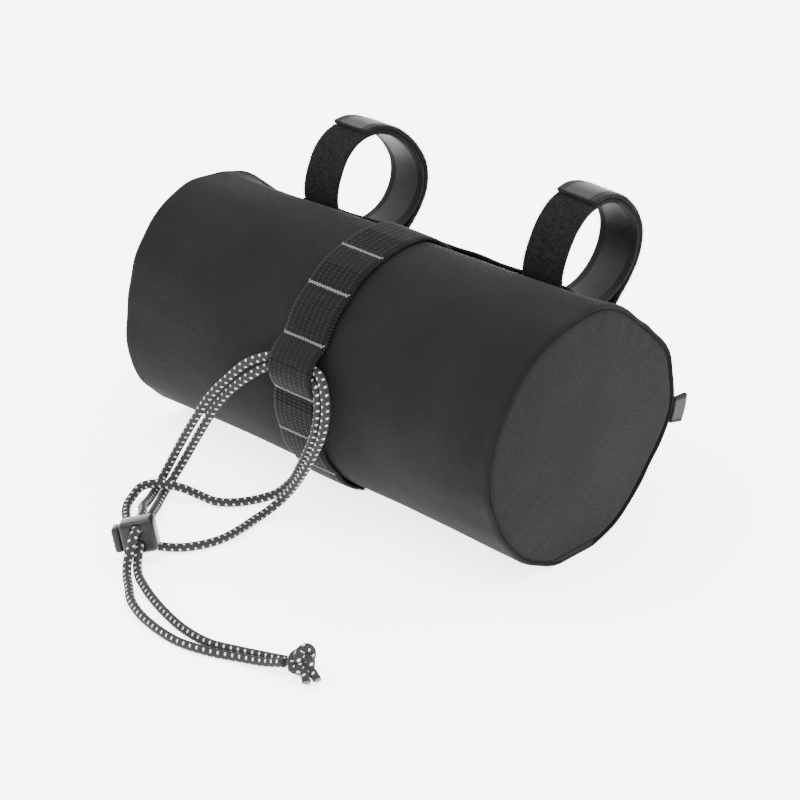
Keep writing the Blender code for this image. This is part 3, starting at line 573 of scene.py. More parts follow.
def stitchTree():
    # Short threads end to end along each line
    tree, given, result = nodeTree("threadRow", [
        ("Pitch", "NodeSocketFloat", 0.001), ("Thread", "NodeSocketFloat", 0.0003),
        ("Reach", "NodeSocketFloat", 0.001),
        ("Material", "NodeSocketMaterial", None)])
    link = tree.links.new
    curve = tree.nodes.new("GeometryNodeMeshToCurve")
    link(given.outputs["Geometry"], curve.inputs[0])
    even = tree.nodes.new("GeometryNodeResampleCurve")
    even.mode = "LENGTH"
    link(curve.outputs[0], even.inputs["Curve"])
    link(given.outputs["Pitch"], even.inputs["Length"])
    thread = tree.nodes.new("GeometryNodeMeshUVSphere")
    thread.inputs["Segments"].default_value = 6
    thread.inputs["Rings"].default_value = 5
    thread.inputs["Radius"].default_value = 1.0
    direction = tree.nodes.new("GeometryNodeInputTangent")
    align = tree.nodes.new("FunctionNodeAlignEulerToVector")
    align.axis = "X"
    link(direction.outputs[0], align.inputs["Vector"])
    paintedCopies(tree, given, result, even.outputs[0], thread.outputs[0], align.outputs[0],
                  ("Reach", "Thread", "Thread"))
    return tree


def fibreTree():
    # Short fibres scattered over the faces whose attribute "pile" is set
    tree, given, result = nodeTree("pileFibres", [
        ("Density", "NodeSocketFloat", 4e6), ("Length", "NodeSocketFloat", 0.0007),
        ("Thick", "NodeSocketFloat", 0.00008), ("Seed", "NodeSocketInt", 3),
        ("Material", "NodeSocketMaterial", None)])
    link = tree.links.new
    area = tree.nodes.new("GeometryNodeInputNamedAttribute")
    area.data_type = "BOOLEAN"
    area.inputs["Name"].default_value = "pile"
    spread = tree.nodes.new("GeometryNodeDistributePointsOnFaces")
    link(given.outputs["Geometry"], spread.inputs["Mesh"])
    link(area.outputs["Attribute"], spread.inputs["Selection"])
    link(given.outputs["Density"], spread.inputs["Density"])
    link(given.outputs["Seed"], spread.inputs["Seed"])
    fibre = tree.nodes.new("GeometryNodeMeshCone")
    fibre.fill_type = "NONE"
    fibre.inputs["Vertices"].default_value = 3
    fibre.inputs["Radius Top"].default_value = 0.4
    fibre.inputs["Radius Bottom"].default_value = 1.0
    fibre.inputs["Depth"].default_value = 1.0
    lean = tree.nodes.new("FunctionNodeRandomValue")
    lean.data_type = "FLOAT_VECTOR"
    lean.inputs["Min"].default_value = (-1.0, -1.0, -3.1)
    lean.inputs["Max"].default_value = (1.0, 1.0, 3.1)
    link(given.outputs["Seed"], lean.inputs["Seed"])
    turn = tree.nodes.new("FunctionNodeRotateEuler")
    turn.rotation_type = "EULER"
    turn.space = "LOCAL"
    link(spread.outputs["Rotation"], turn.inputs["Rotation"])
    link(lean.outputs[0], turn.inputs["Rotate By"])
    paintedCopies(tree, given, result, spread.outputs["Points"], fibre.outputs[0], turn.outputs[0],
                  ("Thick", "Thick", "Length"))
    return tree


trees = {"stitch": stitchTree(), "fibre": fibreTree()}


def grown(obj, treeName, values):
    modifier = obj.modifiers.new(treeName, "NODES")
    modifier.node_group = trees[treeName]
    for item in modifier.node_group.interface.items_tree:
        if item.in_out == "INPUT" and item.name in values:
            modifier[item.identifier] = values[item.name]
    obj.update_tag()
    return applied(obj)


def threadLines(name, lines, material, pitch, thread, reach):
    mesh = bpy.data.meshes.new(name)
    points, edges = [], []
    for line in lines:
        start = len(points)
        points += line
        edges += [(start + i, start + i + 1) for i in range(len(line) - 1)]
    mesh.from_pydata(points, edges, [])
    obj = linked(name, mesh)
    values = {"Pitch": pitch, "Thread": thread, "Reach": reach, "Material": material}
    obj = grown(obj, "stitch", values)
    obj.data.shade_smooth()
    return obj


def joined(name, objects):
    body = bmesh.new()
    slots = []
    for obj in objects:
        first = len(body.faces)
        body.from_mesh(obj.data)
        body.faces.ensure_lookup_table()
        own = [m for m in obj.data.materials]
        for material in own:
            if material not in slots:
                slots.append(material)
        for face in body.faces[first:]:
            face.material_index = slots.index(own[min(face.material_index, len(own) - 1)])
    mesh = bpy.data.meshes.new(name)
    body.to_mesh(mesh)
    body.free()
    for obj in objects:
        bpy.data.objects.remove(obj, do_unlink=True)
    return linked(name, mesh, *slots)


# Camera, lights and floor
view = {"place": (0.8710, -0.9074, 0.6688), "back": (0.61593, -0.64635, 0.45041), "lens": 140.5}
back = Vector(view["back"]).normalized()
right = Vector((0, 0, 1)).cross(back).normalized()
cameraTurn = Matrix((right, back.cross(right), back)).transposed()
camera = bpy.data.objects.new("camera", bpy.data.cameras.new("camera"))
camera.data.lens = view["lens"]
camera.data.sensor_width = 36
camera.data.clip_start = 0.01
camera.matrix_world = Matrix.Translation(view["place"]) @ cameraTurn.to_4x4()
bpy.context.scene.collection.objects.link(camera)
bpy.context.scene.camera = camera

studio = {"world": 3.3, "key": 16.0, "fill": 8.0, "rim": 10.0, "floor": 0.96, "glow": 3.4}
world = bpy.data.worlds.new("studio")
world.use_nodes = True
world.node_tree.nodes["Background"].inputs["Color"].default_value = (1, 1, 1, 1)
world.node_tree.nodes["Background"].inputs["Strength"].default_value = studio["world"]
bpy.context.scene.world = world
for name, place, size, power in (("key", (-0.35, -0.35, 1.25), 0.9, studio["key"]),
                                 ("fill", (1.2, -0.7, 0.8), 1.0, studio["fill"]),
                                 ("rim", (0.1, 1.1, 0.9), 0.8, studio["rim"])):
    lamp = bpy.data.objects.new(name, bpy.data.lights.new(name, "AREA"))
    lamp.data.size = size
    lamp.data.energy = power
    lamp.location = place
    lamp.rotation_euler = (Vector((0, 0, 0.05)) - Vector(place)).to_track_quat("-Z", "Y").to_euler()
    bpy.context.scene.collection.objects.link(lamp)
floorMaterial, floorTree, floorShader = newMaterial("paleFloor", 0.9)
floorShader.inputs["Base Color"].default_value = (studio["floor"],) * 3 + (1,)
floorShader.inputs["Emission Color"].default_value = (1, 1, 1, 1)
floorShader.inputs["Emission Strength"].default_value = studio["glow"]
floorMesh = bpy.data.meshes.new("floor")
floorCorners = [(x, y, -0.0004) for x, y in ((-4, -4), (4, -4), (4, 4), (-4, 4))]
floorMesh.from_pydata(floorCorners, [], [(0, 1, 2, 3)])
linked("floor", floorMesh, floorMaterial)
print("camera, lights and floor set")

# The cord's routes
cordLoopRoute = [
    (0.0004, -0.0589, 0.0694), (0.008, -0.0592, 0.0694), (0.0132, -0.06, 0.0678),
    (0.0162, -0.0616, 0.0625), (0.0168, -0.0626, 0.055), (0.0152, -0.063, 0.046),
    (0.0105, -0.0625, 0.036), (0.0035, -0.0605, 0.025), (-0.0055, -0.0575, 0.013),
    (-0.013, -0.0595, 0.005), (-0.0185, -0.065, 0.0022), (-0.024, -0.0742, 0.002),
    (-0.031, -0.0798, 0.002), (-0.0395, -0.082, 0.003), (-0.0455, -0.0868, 0.0062),
    (-0.0505, -0.0907, 0.0075), (-0.0553, -0.0945, 0.0078), (-0.0594, -0.0988, 0.0062),
    (-0.059, -0.1045, 0.0036), (-0.056, -0.1105, 0.0023), (-0.0497, -0.1165, 0.002),
    (-0.041, -0.1228, 0.002), (-0.031, -0.1262, 0.002), (-0.0208, -0.125, 0.002),
    (-0.0128, -0.12, 0.002), (-0.0075, -0.1125, 0.002), (-0.0043, -0.1015, 0.002),
    (-0.005, -0.088, 0.002), (-0.0066, -0.079, 0.002), (-0.0066, -0.0715, 0.003),
    (-0.0035, -0.065, 0.008), (0.003, -0.0635, 0.0168), (0.0103, -0.0645, 0.027),
    (0.0162, -0.0646, 0.037), (0.021, -0.0644, 0.0475), (0.0223, -0.0632, 0.058),
    (0.0205, -0.0618, 0.067), (0.015, -0.0593, 0.0726), (0.008, -0.058, 0.0737),
    (0.0004, -0.0577, 0.0737),
]
cordRunA = [
    (-0.0004, -0.0577, 0.0737), (-0.0084, -0.0578, 0.0738), (-0.0152, -0.0602, 0.0726),
    (-0.0231, -0.0656, 0.0686), (-0.0315, -0.0703, 0.05955), (-0.03925, -0.0736, 0.0497),
    (-0.04585, -0.0759, 0.0384), (-0.05175, -0.0772, 0.0281), (-0.0571, -0.0787, 0.0177),
    (-0.0604, -0.0812, 0.0092), (-0.06015, -0.0873, 0.0032), (-0.0564, -0.0945, 0.0021),
    (-0.0506, -0.103, 0.0038), (-0.0425, -0.1129, 0.0083), (-0.0338, -0.1206, 0.012),
]
cordRunB = [
    (-0.0004, -0.0589, 0.0694), (-0.0084, -0.059, 0.0694), (-0.0154, -0.0617, 0.0676),
    (-0.0209, -0.066, 0.0634), (-0.0285, -0.0693, 0.05605), (-0.03575, -0.072, 0.0467),
    (-0.04215, -0.0737, 0.036), (-0.04785, -0.0748, 0.0259), (-0.0533, -0.0759, 0.0159),
    (-0.0562, -0.0794, 0.008), (-0.05585, -0.0853, 0.0032), (-0.0526, -0.0919, 0.0021),
    (-0.0469, -0.1006, 0.0023), (-0.0392, -0.111, 0.0046), (-0.032, -0.12, 0.0066),
]
tailA = [
    (-0.0156, -0.1426, 0.0146), (-0.0144, -0.1456, 0.0099), (-0.0134, -0.1482, 0.0057),
    (-0.0100, -0.1517, 0.0027), (-0.0030, -0.1570, 0.0020),
    (0.0058, -0.1637, 0.0020), (0.0180, -0.1692, 0.0020), (0.0340, -0.1726, 0.0020),
    (0.0466, -0.1730, 0.0020), (0.0607, -0.1696, 0.0020), (0.0729, -0.1644, 0.0021),
    (0.0830, -0.1612, 0.0030), (0.0937, -0.1595, 0.0063),
]
tailB = [
    (-0.0133, -0.1419, 0.0074), (-0.0114, -0.1444, 0.0037), (-0.0070, -0.1477, 0.0020),
    (0.0000, -0.1515, 0.0020),
    (0.0090, -0.1556, 0.0020), (0.0237, -0.1608, 0.0020), (0.0405, -0.1648, 0.0020),
    (0.0561, -0.1650, 0.0020), (0.0696, -0.1605, 0.0021), (0.0810, -0.1563, 0.0024),
    (0.0928, -0.1541, 0.0042),
]
lock = {"width": 0.0155, "height": 0.0148, "depth": 0.011, "round": 0.0022, "holeRadius": 0.0026,
        "spacing": 0.0072, "wall": 0.0013, "proud": 0.0035, "slack": 0.0004, "travel": 0.003,
        "centre": (-0.0209, -0.1343, 0.0112), "yaw": 41, "pitch": 10, "roll": 12}
cord = {"diameter": 0.004, "step": 0.0005, "sides": 20, "relief": 0.00012}


def lockMatrix():
    yaw = Matrix.Rotation(math.radians(lock["yaw"]), 4, "Z")
    pitch = Matrix.Rotation(math.radians(-lock["pitch"]), 4, "X")
    roll = Matrix.Rotation(math.radians(-lock["roll"]), 4, "Y")
    return Matrix.Translation(lock["centre"]) @ yaw @ pitch @ roll


def holePoints(side):
    reach = lock["depth"] / 2
    places = (reach + 0.002, reach / 2, 0, -reach / 2, -reach - 0.0008)
    return [tuple(lockMatrix() @ Vector((0, y, side * lock["spacing"] / 2))) for y in places]


def braidRelief(along, turn):
    a = math.sin(math.tau * (8 * turn + 640 * along))
    b = math.sin(math.tau * (8 * turn - 640 * along))
    return cord["relief"] * (max(a, b) - 0.9)


cords = []
for name, route in (("bungeeLoop", cordLoopRoute), ("bungeeRunA", cordRunA + holePoints(1) + tailA),
                    ("bungeeRunB", cordRunB + holePoints(-1) + tailB)):
    path = evenSteps(smoothRoute(route, 24), cord["step"])
    skin = tubeMesh(name, path, cord["diameter"] / 2, cord["sides"], finish["cord"], braidRelief)
    cords.append((skin, path))
print("cords laid")

# The knot: a doubled overhand, with two cut tails
knot = {"centre": (0.0990, -0.1545, 0.0074), "ring": 0.0029, "swing": 0.0016, "cord": 0.00205,
        "stretch": (1.22, 0.92, 1.0), "tails": ((0.9, -0.10, -0.42), (0.9, -0.62, -0.50)),
        "tailLength": 0.0105, "fray": (0.0005, 0.00016, 0.0006)}


def knotPiece():
    spin = Matrix.Rotation(math.radians(62), 3, "Z")
    centre = Vector(knot["centre"])
    pieces = []
    for index, shift in enumerate((-1, 1)):
        path = []
        for step in range(181):
            t = math.tau * step / 180 + index * 0.35
            reach = knot["ring"] + knot["swing"] * math.cos(3 * t)
            lift = knot["swing"] * math.sin(3 * t)
            local = Vector((reach * math.cos(2 * t), reach * math.sin(2 * t), lift))
            local = Vector([a * b for a, b in zip(local, knot["stretch"])])
            local.z += shift * 0.0016
            path.append(centre + cameraTurn @ (spin @ local))
        path = evenSteps(path, cord["step"])
        pieces.append(tubeMesh(f"knotTurn{index}", path, knot["cord"], cord["sides"],
                               finish["cord"], braidRelief))
    frays = []
    for index, aim in enumerate(knot["tails"]):
        aim = Vector(aim).normalized()
        end = centre + aim * knot["tailLength"]
        bend = centre + aim * knot["tailLength"] * 0.5 + Vector((0, 0, 0.0006))
        path = evenSteps(smoothRoute([centre, bend, end], 12), cord["step"])
        thin = knot["cord"] * 0.93
        pieces.append(tubeMesh(f"knotTail{index}", path, thin, cord["sides"], finish["cord"], braidRelief))
        side = aim.cross(Vector((0, 0, 1))).normalized()
        up = side.cross(aim)
        ring = [end + (side * math.cos(t) + up * math.sin(t)) * r
                for r in (0.0004, 0.0009, 0.0014) for t in np.linspace(0, math.tau, 9)[:-1]]
        for i, p in enumerate(ring):
            frays.append([p - aim * 0.0002, p + aim * (0.0006 + 0.0004 * math.sin(7 * i))])
    pieces.append(threadLines("knotFray", frays, finish["fray"], *knot["fray"]))
    return joined("bungeeKnot", pieces)


knotObject = knotPiece()


# The cord lock: rounded housing with two cord holes, and its ribbed button
def roundedBox(name, low, high, rounding, segments, material):
    body = bmesh.new()
    bmesh.ops.create_cube(body, size=1.0)
    bmesh.ops.scale(body, vec=[b - a for a, b in zip(low, high)], verts=body.verts)
    bmesh.ops.translate(body, vec=[(a + b) / 2 for a, b in zip(low, high)], verts=body.verts)
    mesh = bpy.data.meshes.new(name)
    body.to_mesh(mesh)
    body.free()
    obj = linked(name, mesh, material)
    bevel = obj.modifiers.new("edges", "BEVEL")
    bevel.width = rounding
    bevel.segments = segments
    return obj


def cut(obj, cutter):
    cutter.hide_render = True
    modifier = obj.modifiers.new("cut", "BOOLEAN")
    modifier.object = cutter


def lockPieces():
    half = Vector((lock["width"], lock["depth"], lock["height"])) / 2
    housing = roundedBox("lockHousing", -half, half, lock["round"], 5, finish["lock"])
    deep = lock["travel"] + 2 * lock["slack"]
    wall = lock["wall"]
    tools = [roundedBox("recessTool", (-half.x - 0.002, -half.y + wall, -half.z + wall),
                        (-half.x + deep, half.y - wall, half.z - wall), 0.0008, 3, finish["lock"])]
    alongY = Matrix.Rotation(math.pi / 2, 4, "X")
    for side in (-0.5, 0.5):
        body = bmesh.new()
        for radius, deepness, place in ((lock["holeRadius"], lock["depth"] + 0.004, 0),
                                        (lock["holeRadius"] + 0.0005, 0.0012, -half.y - 0.0001),
                                        (lock["holeRadius"] + 0.0005, 0.0012, half.y + 0.0001)):
            turned = Matrix.Translation((0, place, side * lock["spacing"])) @ alongY
            bmesh.ops.create_cone(body, cap_ends=True, segments=40, radius1=radius, radius2=radius,
                                  depth=deepness, matrix=turned)
            mesh = bpy.data.meshes.new("holeTool")
            body.to_mesh(mesh)
            bmesh.ops.delete(body, geom=body.verts, context="VERTS")
            tools.append(linked("holeTool", mesh, finish["lock"]))
        body.free()
    for tool in tools:
        cut(housing, tool)
    housing = applied(housing)
    for tool in tools:
        bpy.data.objects.remove(tool, do_unlink=True)
    low = (-half.x - lock["proud"], -half.y + wall + lock["slack"], -half.z + wall + lock["slack"])
    high = (-half.x + lock["slack"], half.y - wall - lock["slack"], half.z - wall - lock["slack"])
    parts = [applied(roundedBox("buttonCap", low, high, 0.0014, 4, finish["lock"]))]
    for k in (-1, 0, 1):
        z = k * 0.0026
        ribLow = (low[0] - 0.0003, low[1] + 0.0012, z - 0.0005)
        ribHigh = (low[0] + 0.0006, high[1] - 0.0012, z + 0.0005)
        parts.append(applied(roundedBox("buttonRib", ribLow, ribHigh, 0.0003, 2, finish["lock"])))
    button = joined("lockButton", parts)
    for obj in (housing, button):
        obj.data.transform(lockMatrix())
        obj.data.shade_smooth()
        obj.data.set_sharp_from_angle(angle=math.radians(38))
    return housing, button


lockHousing, lockButton = lockPieces()
print("knot and lock made")


# The bag's cloth: a barrel with soft folds, settled where it rests
def foldAt(x, angle):
    turn = math.radians(angle)
    across, up = math.sin(turn) * bag["radius"], math.cos(turn) * bag["radius"]
    place = Vector((x * 0.6, across, up)) * bag["foldScale"]
    broad = noise.noise(place)
    fine = noise.noise(place * 2.3 + Vector((7, 3, 1)))
    nearEnd = math.exp(-((halfLength - abs(x)) / 0.028))
    pucker = math.sin(math.radians(angle) * 17 + 2 * broad) * nearEnd * 0.5
    return bag["foldHeight"] * (broad + 0.4 * fine + pucker - 0.5)


def barrel():
    band = bag["rimBand"]
    places = list(np.linspace(-halfLength + band, halfLength - band, bag["columns"]))
    # the rim turns in over its seam at each end
    turned = [(0.35, 0.00005), (0.65, -0.0001), (0.88, -0.0005), (1.0, -0.0010)]
    left = [(-halfLength + band * (1 - t), d) for t, d in reversed(turned)]
    right = [(halfLength - band * (1 - t), d) for t, d in turned]
    places = left + [(x, 0) for x in places] + right
    rows, uvRows = [], []
    for x, drop in places:
        row, uvRow = [], []
        for side in range(bag["sides"] + 1):
            angle = side * 360 / bag["sides"]
            uvRow.append((x, math.radians(angle) * bag["radius"]))
            if side == bag["sides"]:
                break
            point = roundPoint(x, angle, clothRadius(x, angle) + foldAt(x, angle) + drop)
            point.z = max(point.z, 0.0)
            row.append(point)
        rows.append(row)
        uvRows.append(uvRow)
    obj = gridObject("bagCloth", rows, uvRows, [finish["body"], finish["lining"]], closed=True)
    wall = obj.modifiers.new("wall", "SOLIDIFY")
    wall.thickness = bag["wall"] * 0.8
    wall.offset = -1
    wall.material_offset = 1
    return applied(obj)


panel = {"inset": 0.0007, "crown": 0.0021, "rolled": 0.0009, "puff": 0.0005, "pucker": 0.0018,
         "wall": 0.0012, "rimGap": 0.0006, "rings": 44, "turns": 160}


def endPiece(side):
    rim = side * halfLength
    rings, turns = panel["rings"], panel["turns"]
    rows, uvRows = [], []
    for ring in range(rings + 1):
        share = ring / rings
        row, uvRow = [], []
        for step in range(turns + 1):
            angle = step * 360 / turns
            edge = clothRadius(rim, angle)
            down = -math.cos(math.radians(angle))
            if down > 0.1:
                edge = min(edge, axisHeight / down)
            edge -= bag["wall"] * 0.8 + panel["rimGap"]
            radius = max(share, 0.0005) * edge
            roll = panel["rolled"] * max(0, (share - 0.955) / 0.045) ** 2
            turn = math.radians(angle)
            puff = noise.noise(Vector((math.sin(turn), math.cos(turn), 0.3 * side)) * share * 2.1)
            pucker = panel["pucker"] * math.sin(turn * 31) * max(0, (share - 0.8) / 0.2) * (1 - share)
            out = panel["crown"] * (1 - share**2) - panel["inset"] + panel["puff"] * puff * (1 - share**4)
            x = rim + side * (out + pucker - roll)
            point = roundPoint(x, angle, radius)
            uvRow.append((point.z, point.y))
            if step < turns:
                row.append(point)
        rows.append(row)
        uvRows.append(uvRow)
    name = "endPanelRight" if side > 0 else "endPanelLeft"
    obj = gridObject(name, rows, uvRows, [finish["panel"], finish["lining"]], closed=True)
    body = bmesh.new()
    body.from_mesh(obj.data)
    middle = [v for v in body.verts if (v.co.yz - Vector((0, axisHeight))).length < 0.0002]
    bmesh.ops.remove_doubles(body, verts=middle, dist=0.0004)
    bmesh.ops.recalc_face_normals(body, faces=body.faces)
    if sum(f.normal.x * f.calc_area() for f in body.faces) * side < 0:
        bmesh.ops.reverse_faces(body, faces=body.faces)
    body.to_mesh(obj.data)
    body.free()
    wall = obj.modifiers.new("wall", "SOLIDIFY")
    wall.thickness = panel["wall"]
    wall.offset = -1
    wall.material_offset = 1
    return applied(obj)


bagCloth = barrel()
endRight = endPiece(1)
endLeft = endPiece(-1)
print("bag cloth made")

# Webbing: round the front, tacked with bars, and along the back of the top
webbing = {"width": 0.025, "thick": 0.0016, "rib": 0.0016, "ribHeight": 0.00010, "columns": 14,
           "bars": [-17.0, -39.5, -63.0, -86.5, -107.0, -128.0, -147.0], "end": -150.0,
           "rearReach": 0.0985, "rearLeft": 0.080, "rearThick": 0.0012,
           "cordLoop": 2, "puff": 0.0009, "cordPuff": 0.0056, "step": 0.0004}
# the bars' zigzag swings by "swing" degrees to each side
bars = {"pitch": 0.0007, "thread": 0.00036, "reach": 0.00075, "inset": 0.0006, "lift": 0.0002,
        "swing": 0.5, "folds": 30}
edges = {"pitch": 0.0016, "thread": 0.00052, "reach": 0.00062}
straps = {
    "strapLeft": {"place": -0.0640, "span": 0.0284, "height": 0.0468, "yaw": -2.0},
    "strapRight": {"place": 0.0655, "span": 0.0264, "height": 0.0490, "yaw": 4.0},
}
strapSize = {"width": 0.021, "thick": 0.0019, "layerGap": 0.0006, "columns": 13, "perSpan": 8,
             "tabLength": 0.022, "border": 0.0033, "stitch": (0.0021, 0.00018, 0.0008), "step": 0.0011}


def webbingPuff(angle):
    for index, (upper, lower) in enumerate(zip(webbing["bars"], webbing["bars"][1:])):
        if lower <= angle <= upper:
            u = (upper - angle) / (upper - lower)
            if index == webbing["cordLoop"]:
                return webbing["cordPuff"] * math.sin(math.pi * u) ** 0.9
            return webbing["puff"] * math.sin(math.pi * u) ** 0.8
    return 0.0


def frontHeight(angle):
    half = webbing["width"] / 2
    return max(clothRadius(x, angle) for x in (-half, 0, half)) + bag["gap"] + webbingPuff(angle)


def frontPoint(x, angle, lift):
    return roundPoint(x, angle, frontHeight(angle) + lift)


def frontPiece():
    half = webbing["width"] / 2
    halfTurn = math.degrees(math.atan2(webbing["width"] / 2, rearFlat(0.0)))
    start = rearAngle + halfTurn
    count = int(bag["radius"] * math.radians(start - webbing["end"]) / webbing["step"])
    angles = np.linspace(start, webbing["end"], count)
    rows, uvRows = [], []
    along, before = 0.0, None
    for angle in angles:
        height = frontHeight(angle)
        middle = roundPoint(0, angle, height)
        along += (middle - before).length if before else 0
        before = middle
        nearBar = min(abs(angle - b) for b in webbing["bars"])
        pinch = math.exp(-(nearBar / 1.1) ** 2)
        row = []
        for u in np.linspace(-1, 1, webbing["columns"]):
            rib = webbing["ribHeight"] * math.sin(math.tau * along / webbing["rib"]) * (1 - pinch)
            soft = 0.0002 * (1 - u * u)
            x = u * webbing["width"] / 2 * (1 - 0.02 * pinch)
            row.append(roundPoint(x, angle, height + rib + soft - 0.0003 * pinch))
        rows.append(row)
        uvRows.append([(u * webbing["width"] / 2, along) for u in np.linspace(-1, 1, webbing["columns"])])
    obj = gridObject("frontWebbing", rows, uvRows, [finish["webbing"]])
    pieces = [solid(obj, webbing["thick"], 1)]
    rims = []
    for side in (-1, 1):
        rims.append([frontPoint(side * half, a, webbing["thick"] / 2) for a in angles[::3]])
    rims.append([frontPoint(x, webbing["end"], webbing["thick"] / 2) for x in np.linspace(-half, half, 12)])
    pieces.append(threadLines("frontSelvage", rims, finish["selvage"], *edges.values()))
    return joined("frontWebbing", pieces)


def barPiece():
    lines = []
    reach = webbing["width"] / 2 - bars["inset"]
    for angle in webbing["bars"]:
        lift = webbing["thick"] + bars["lift"]
        line = []
        for fold, x in enumerate(np.linspace(-reach, reach, bars["folds"] + 1)):
            line.append(frontPoint(x, angle + bars["swing"] * (-1) ** fold, lift))
        lines.append(line)
    return threadLines("webbingBars", lines, finish["bar"], bars["pitch"], bars["thread"], bars["reach"])


def strapSeat(size):
    reach = strapSize["width"] / 2 + webbing["width"] / 2 * abs(math.tan(math.radians(size["yaw"])))
    places = np.linspace(size["place"] - reach, size["place"] + reach, 9)
    return max(rearFlat(x) for x in places) + bag["gap"], reach


def rearProfile():
    held = [(end, rearFlat(end) + bag["gap"]) for end in (-halfLength, halfLength)]
    for size in straps.values():
        seat, reach = strapSeat(size)
        over = seat + strapSize["thick"] + bag["gap"]
        held += [(size["place"] - reach - 0.001, over), (size["place"] + reach + 0.001, over)]
        outer = size["place"] + math.copysign(reach + 0.009, size["place"])
        held.append((outer, rearFlat(outer) + bag["gap"]))
    over = max(rearFlat(x) for x in np.linspace(-0.0125, 0.0125, 9)) + 2 * bag["gap"] + webbing["thick"]
    held += [(-0.0135, over), (0.0135, over + 0.0003), (0.026, over + 0.0011), (0.040, over + 0.0006)]
    held.sort()
    return [h[0] for h in held], [h[1] for h in held]


def rearPiece():
    knots, values = rearProfile()
    count = int((webbing["rearLeft"] + webbing["rearReach"]) / webbing["step"])
    places = np.linspace(-webbing["rearLeft"], webbing["rearReach"], count)
    heights = [max(float(np.interp(x, knots, values)), rearFlat(x) + bag["gap"]) for x in places]
    soft = np.convolve(np.pad(heights, 8, mode="edge"), np.ones(17) / 17, mode="valid")
    heights = [max(a, b - 0.0003) for a, b in zip(soft, heights)]
    rows, uvRows, rims = [], [], [[], []]
    for x, height in zip(places, heights):
        middle = axisPoint + Vector((x, 0, 0)) + rearNormal * height
        row = []
        for u in np.linspace(-1, 1, webbing["columns"]):
            rib = webbing["ribHeight"] * math.sin(math.tau * x / webbing["rib"])
            row.append(middle + rearAcross * u * webbing["width"] / 2 + rearNormal * rib)
        rows.append(row)
        uvRows.append([(u * webbing["width"] / 2, x) for u in np.linspace(-1, 1, webbing["columns"])])
        for side, rim in zip((-1, 1), rims):
            rimSide = middle + rearAcross * side * webbing["width"] / 2
            rim.append(rimSide + rearNormal * webbing["rearThick"] / 2)
    obj = gridObject("rearWebbing", rows, uvRows, [finish["webbing"]])
    pieces = [solid(obj, webbing["rearThick"], 1)]
    pieces.append(threadLines("rearSelvage", rims, finish["selvage"], *edges.values()))
    return joined("rearWebbing", pieces)


frontWebbing = frontPiece()
webbingBars = barPiece()
rearWebbing = rearPiece()
print("webbing made")

# One closed strap from its inner end at the back, round and over itself: across, rise, layer
strapRoute = [
    (0.56, 0.105, 0), (0.76, 0.20, 0), (0.94, 0.37, 0), (1.00, 0.56, 0), (0.92, 0.75, 0), (0.68, 0.91, 0),
    (0.34, 0.985, 0), (0.0, 1.0, 0), (-0.34, 0.975, 0), (-0.68, 0.88, 0), (-0.93, 0.70, 0), (-1.00, 0.50, 0),
    (-0.93, 0.30, 0), (-0.79, 0.12, 0), (-0.61, 0.012, 0), (-0.50, 0.0, 0), (-0.40, 0.0, 0), (0.40, 0.0, 0),
    (0.55, 0.0, 0), (0.88, 0.03, 0), (0.99, 0.13, 1), (1.00, 0.34, 1), (1.00, 0.56, 1), (0.92, 0.75, 1),
    (0.68, 0.91, 1), (0.34, 0.985, 1), (0.0, 1.0, 1), (-0.34, 0.975, 1), (-0.68, 0.88, 1), (-0.85, 0.775, 1)]


def strapLine(size):
    base = strapSize["thick"] / 2
    span, top = size["span"], size["height"]
    pitch = strapSize["thick"] + strapSize["layerGap"]
    centre = 0.52 * top
    line = []
    for across, rise, layer in strapRoute:
        x, y = across * span, base + rise * (top - base)
        if layer:
            away = Vector((x / span**2, (y - centre) / centre**2)).normalized()
            if y < centre:
                away = Vector((1, 0))
            x, y = x + away.x * pitch, y + away.y * pitch
        line.append((x, y, 0))
    return evenSteps(smoothRoute(line, strapSize["perSpan"]), strapSize["step"])


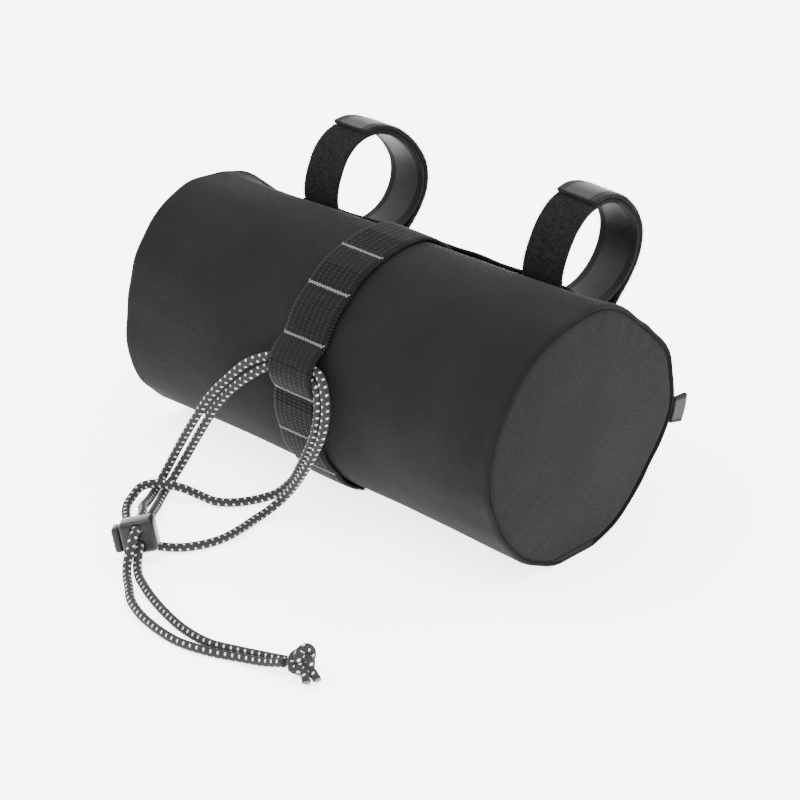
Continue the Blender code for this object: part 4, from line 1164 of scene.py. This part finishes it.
def strapPiece(name):
    size = straps[name]
    seat, _ = strapSeat(size)
    middle = axisPoint + Vector((size["place"], 0, 0)) + rearNormal * seat
    turn = Matrix.Rotation(math.radians(size["yaw"]), 3, rearNormal)
    line = strapLine(size)
    total = len(line) * strapSize["step"]
    rows, uvRows = [], []
    shares = list(np.linspace(-1, 1, strapSize["columns"]))
    for i, (across, height, _) in enumerate(line):
        upon = rearAcross * across + rearNormal * height
        rows.append([middle + turn @ (Vector((s * strapSize["width"] / 2, 0, 0)) + upon) for s in shares])
        uvRows.append([(s * strapSize["width"] / 2, i * strapSize["step"]) for s in shares])
    obj = gridObject(name, rows, uvRows, [finish["pile"], finish["tape"], finish["pile"]])
    wall = obj.modifiers.new("wall", "SOLIDIFY")
    wall.thickness = strapSize["thick"]
    wall.offset = 0
    bevel = obj.modifiers.new("edges", "BEVEL")
    bevel.width = 0.0004
    bevel.segments = 2
    obj = applied(obj)
    mesh = obj.data
    centre = middle + rearNormal * size["height"] * 0.52
    uv = mesh.uv_layers["cloth"].data
    pile = []
    for face in mesh.polygons:
        out = face.center - centre
        out.x = 0
        out.normalize()
        facing = face.normal.dot(out)
        along = sum(uv[k].uv[1] for k in face.loop_indices) / len(face.loop_indices)
        tab = along > total - strapSize["tabLength"]
        face.material_index = 1 if facing < -0.35 or (tab and facing > 0.3) else 0
        pile.append(face.material_index == 0 and not (facing < 0.3 and along < 0.045))
    mesh.attributes.new("pile", "BOOLEAN", "FACE").data.foreach_set("value", pile)
    copy = linked(name + "Pile", mesh.copy())
    fibres = grown(copy, "fibre", {"Density": 3.2e6, "Length": 0.0009, "Thick": 0.00007, "Seed": 5,
                                   "Material": finish["fibre"]})
    borders = []
    for side in (-1, 1):
        s = side * (strapSize["width"] / 2 - strapSize["border"])
        points = [(a, h) for a, h, _ in line[-int(strapSize["tabLength"] / strapSize["step"]):]]
        border = []
        for a, h in points:
            out = (rearAcross * a + rearNormal * (h - size["height"] * 0.5)).normalized()
            upon = middle + turn @ (Vector((s, 0, 0)) + rearAcross * a + rearNormal * h)
            border.append(upon + out * strapSize["thick"] / 2)
        borders.append(border)
    stitches = threadLines(name + "Stitches", borders, finish["selvage"], *strapSize["stitch"])
    return joined(name, [obj, fibres, stitches])


strapObjects = {name: strapPiece(name) for name in straps}
print("straps made")

tab = {"width": 0.0105, "reach": 0.0085, "thick": 0.0022, "angle": 99.0, "inset": 0.0014, "fold": 0.0007}


def tabPiece():
    x0 = halfLength - tab["inset"]
    half = math.degrees(tab["width"] / 2 / bag["radius"])
    rows, uvRows = [], []
    # down one face, round the fold and back up the other, with a slit between
    fold = [(0.9 + 0.1 * math.sin(t), math.cos(t)) for t in np.linspace(0, math.pi, 9)[1:-1]]
    steps = [(s, 1) for s in np.linspace(0, 0.9, 12)] + fold + [(s, -1) for s in np.linspace(0.9, 0, 12)]
    for reach, face in steps:
        row, uvRow = [], []
        for s in np.linspace(-1, 1, 13):
            angle = tab["angle"] + s * half
            foot = clothRadius(x0, angle) + bag["gap"]
            x = x0 + face * tab["fold"]
            row.append(roundPoint(x, angle, foot + reach * tab["reach"]))
            uvRow.append((s * tab["width"] / 2, (reach + (0 if face > 0 else 2)) * tab["reach"]))
        rows.append(row)
        uvRows.append(uvRow)
    obj = gridObject("endTab", rows, uvRows, [finish["tab"]])
    return solid(obj, 0.0008, 0)


endTab = tabPiece()
print("tab made")

# What each piece stands for and rides on
for obj, nodes, body, slot in (
        (bagCloth, ["body_tube"], "bag", "body_cloth"), (endRight, ["end_panel_right"], "bag", "panel_cloth"),
        (endLeft, ["end_panel_left"], "bag", "panel_cloth"),
        (frontWebbing, ["front_webbing"], "bag", "webbing"),
        (webbingBars, [], "bag", "webbing"), (rearWebbing, ["rear_webbing"], "bag", "webbing"),
        (strapObjects["strapLeft"], ["strap_left"], "bag", "strap_pile"),
        (strapObjects["strapRight"], ["strap_right"], "bag", "strap_pile"),
        (endTab, ["end_tab"], "bag", "tab_tape"), (lockHousing, ["cord_lock_body"], "bag", "lock_plastic"),
        (lockButton, ["cord_lock_button"], "button", "lock_plastic"),
        (knotObject, ["cord_knot"], "bag", "flecked_cord"),
        (cords[0][0], ["cord_loop"], "bag", "flecked_cord"),
        (cords[1][0], ["cord_run_a"], "bag", "flecked_cord"),
        (cords[2][0], ["cord_run_b"], "bag", "flecked_cord")):
    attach(obj, body)
    if nodes:
        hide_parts(*nodes)
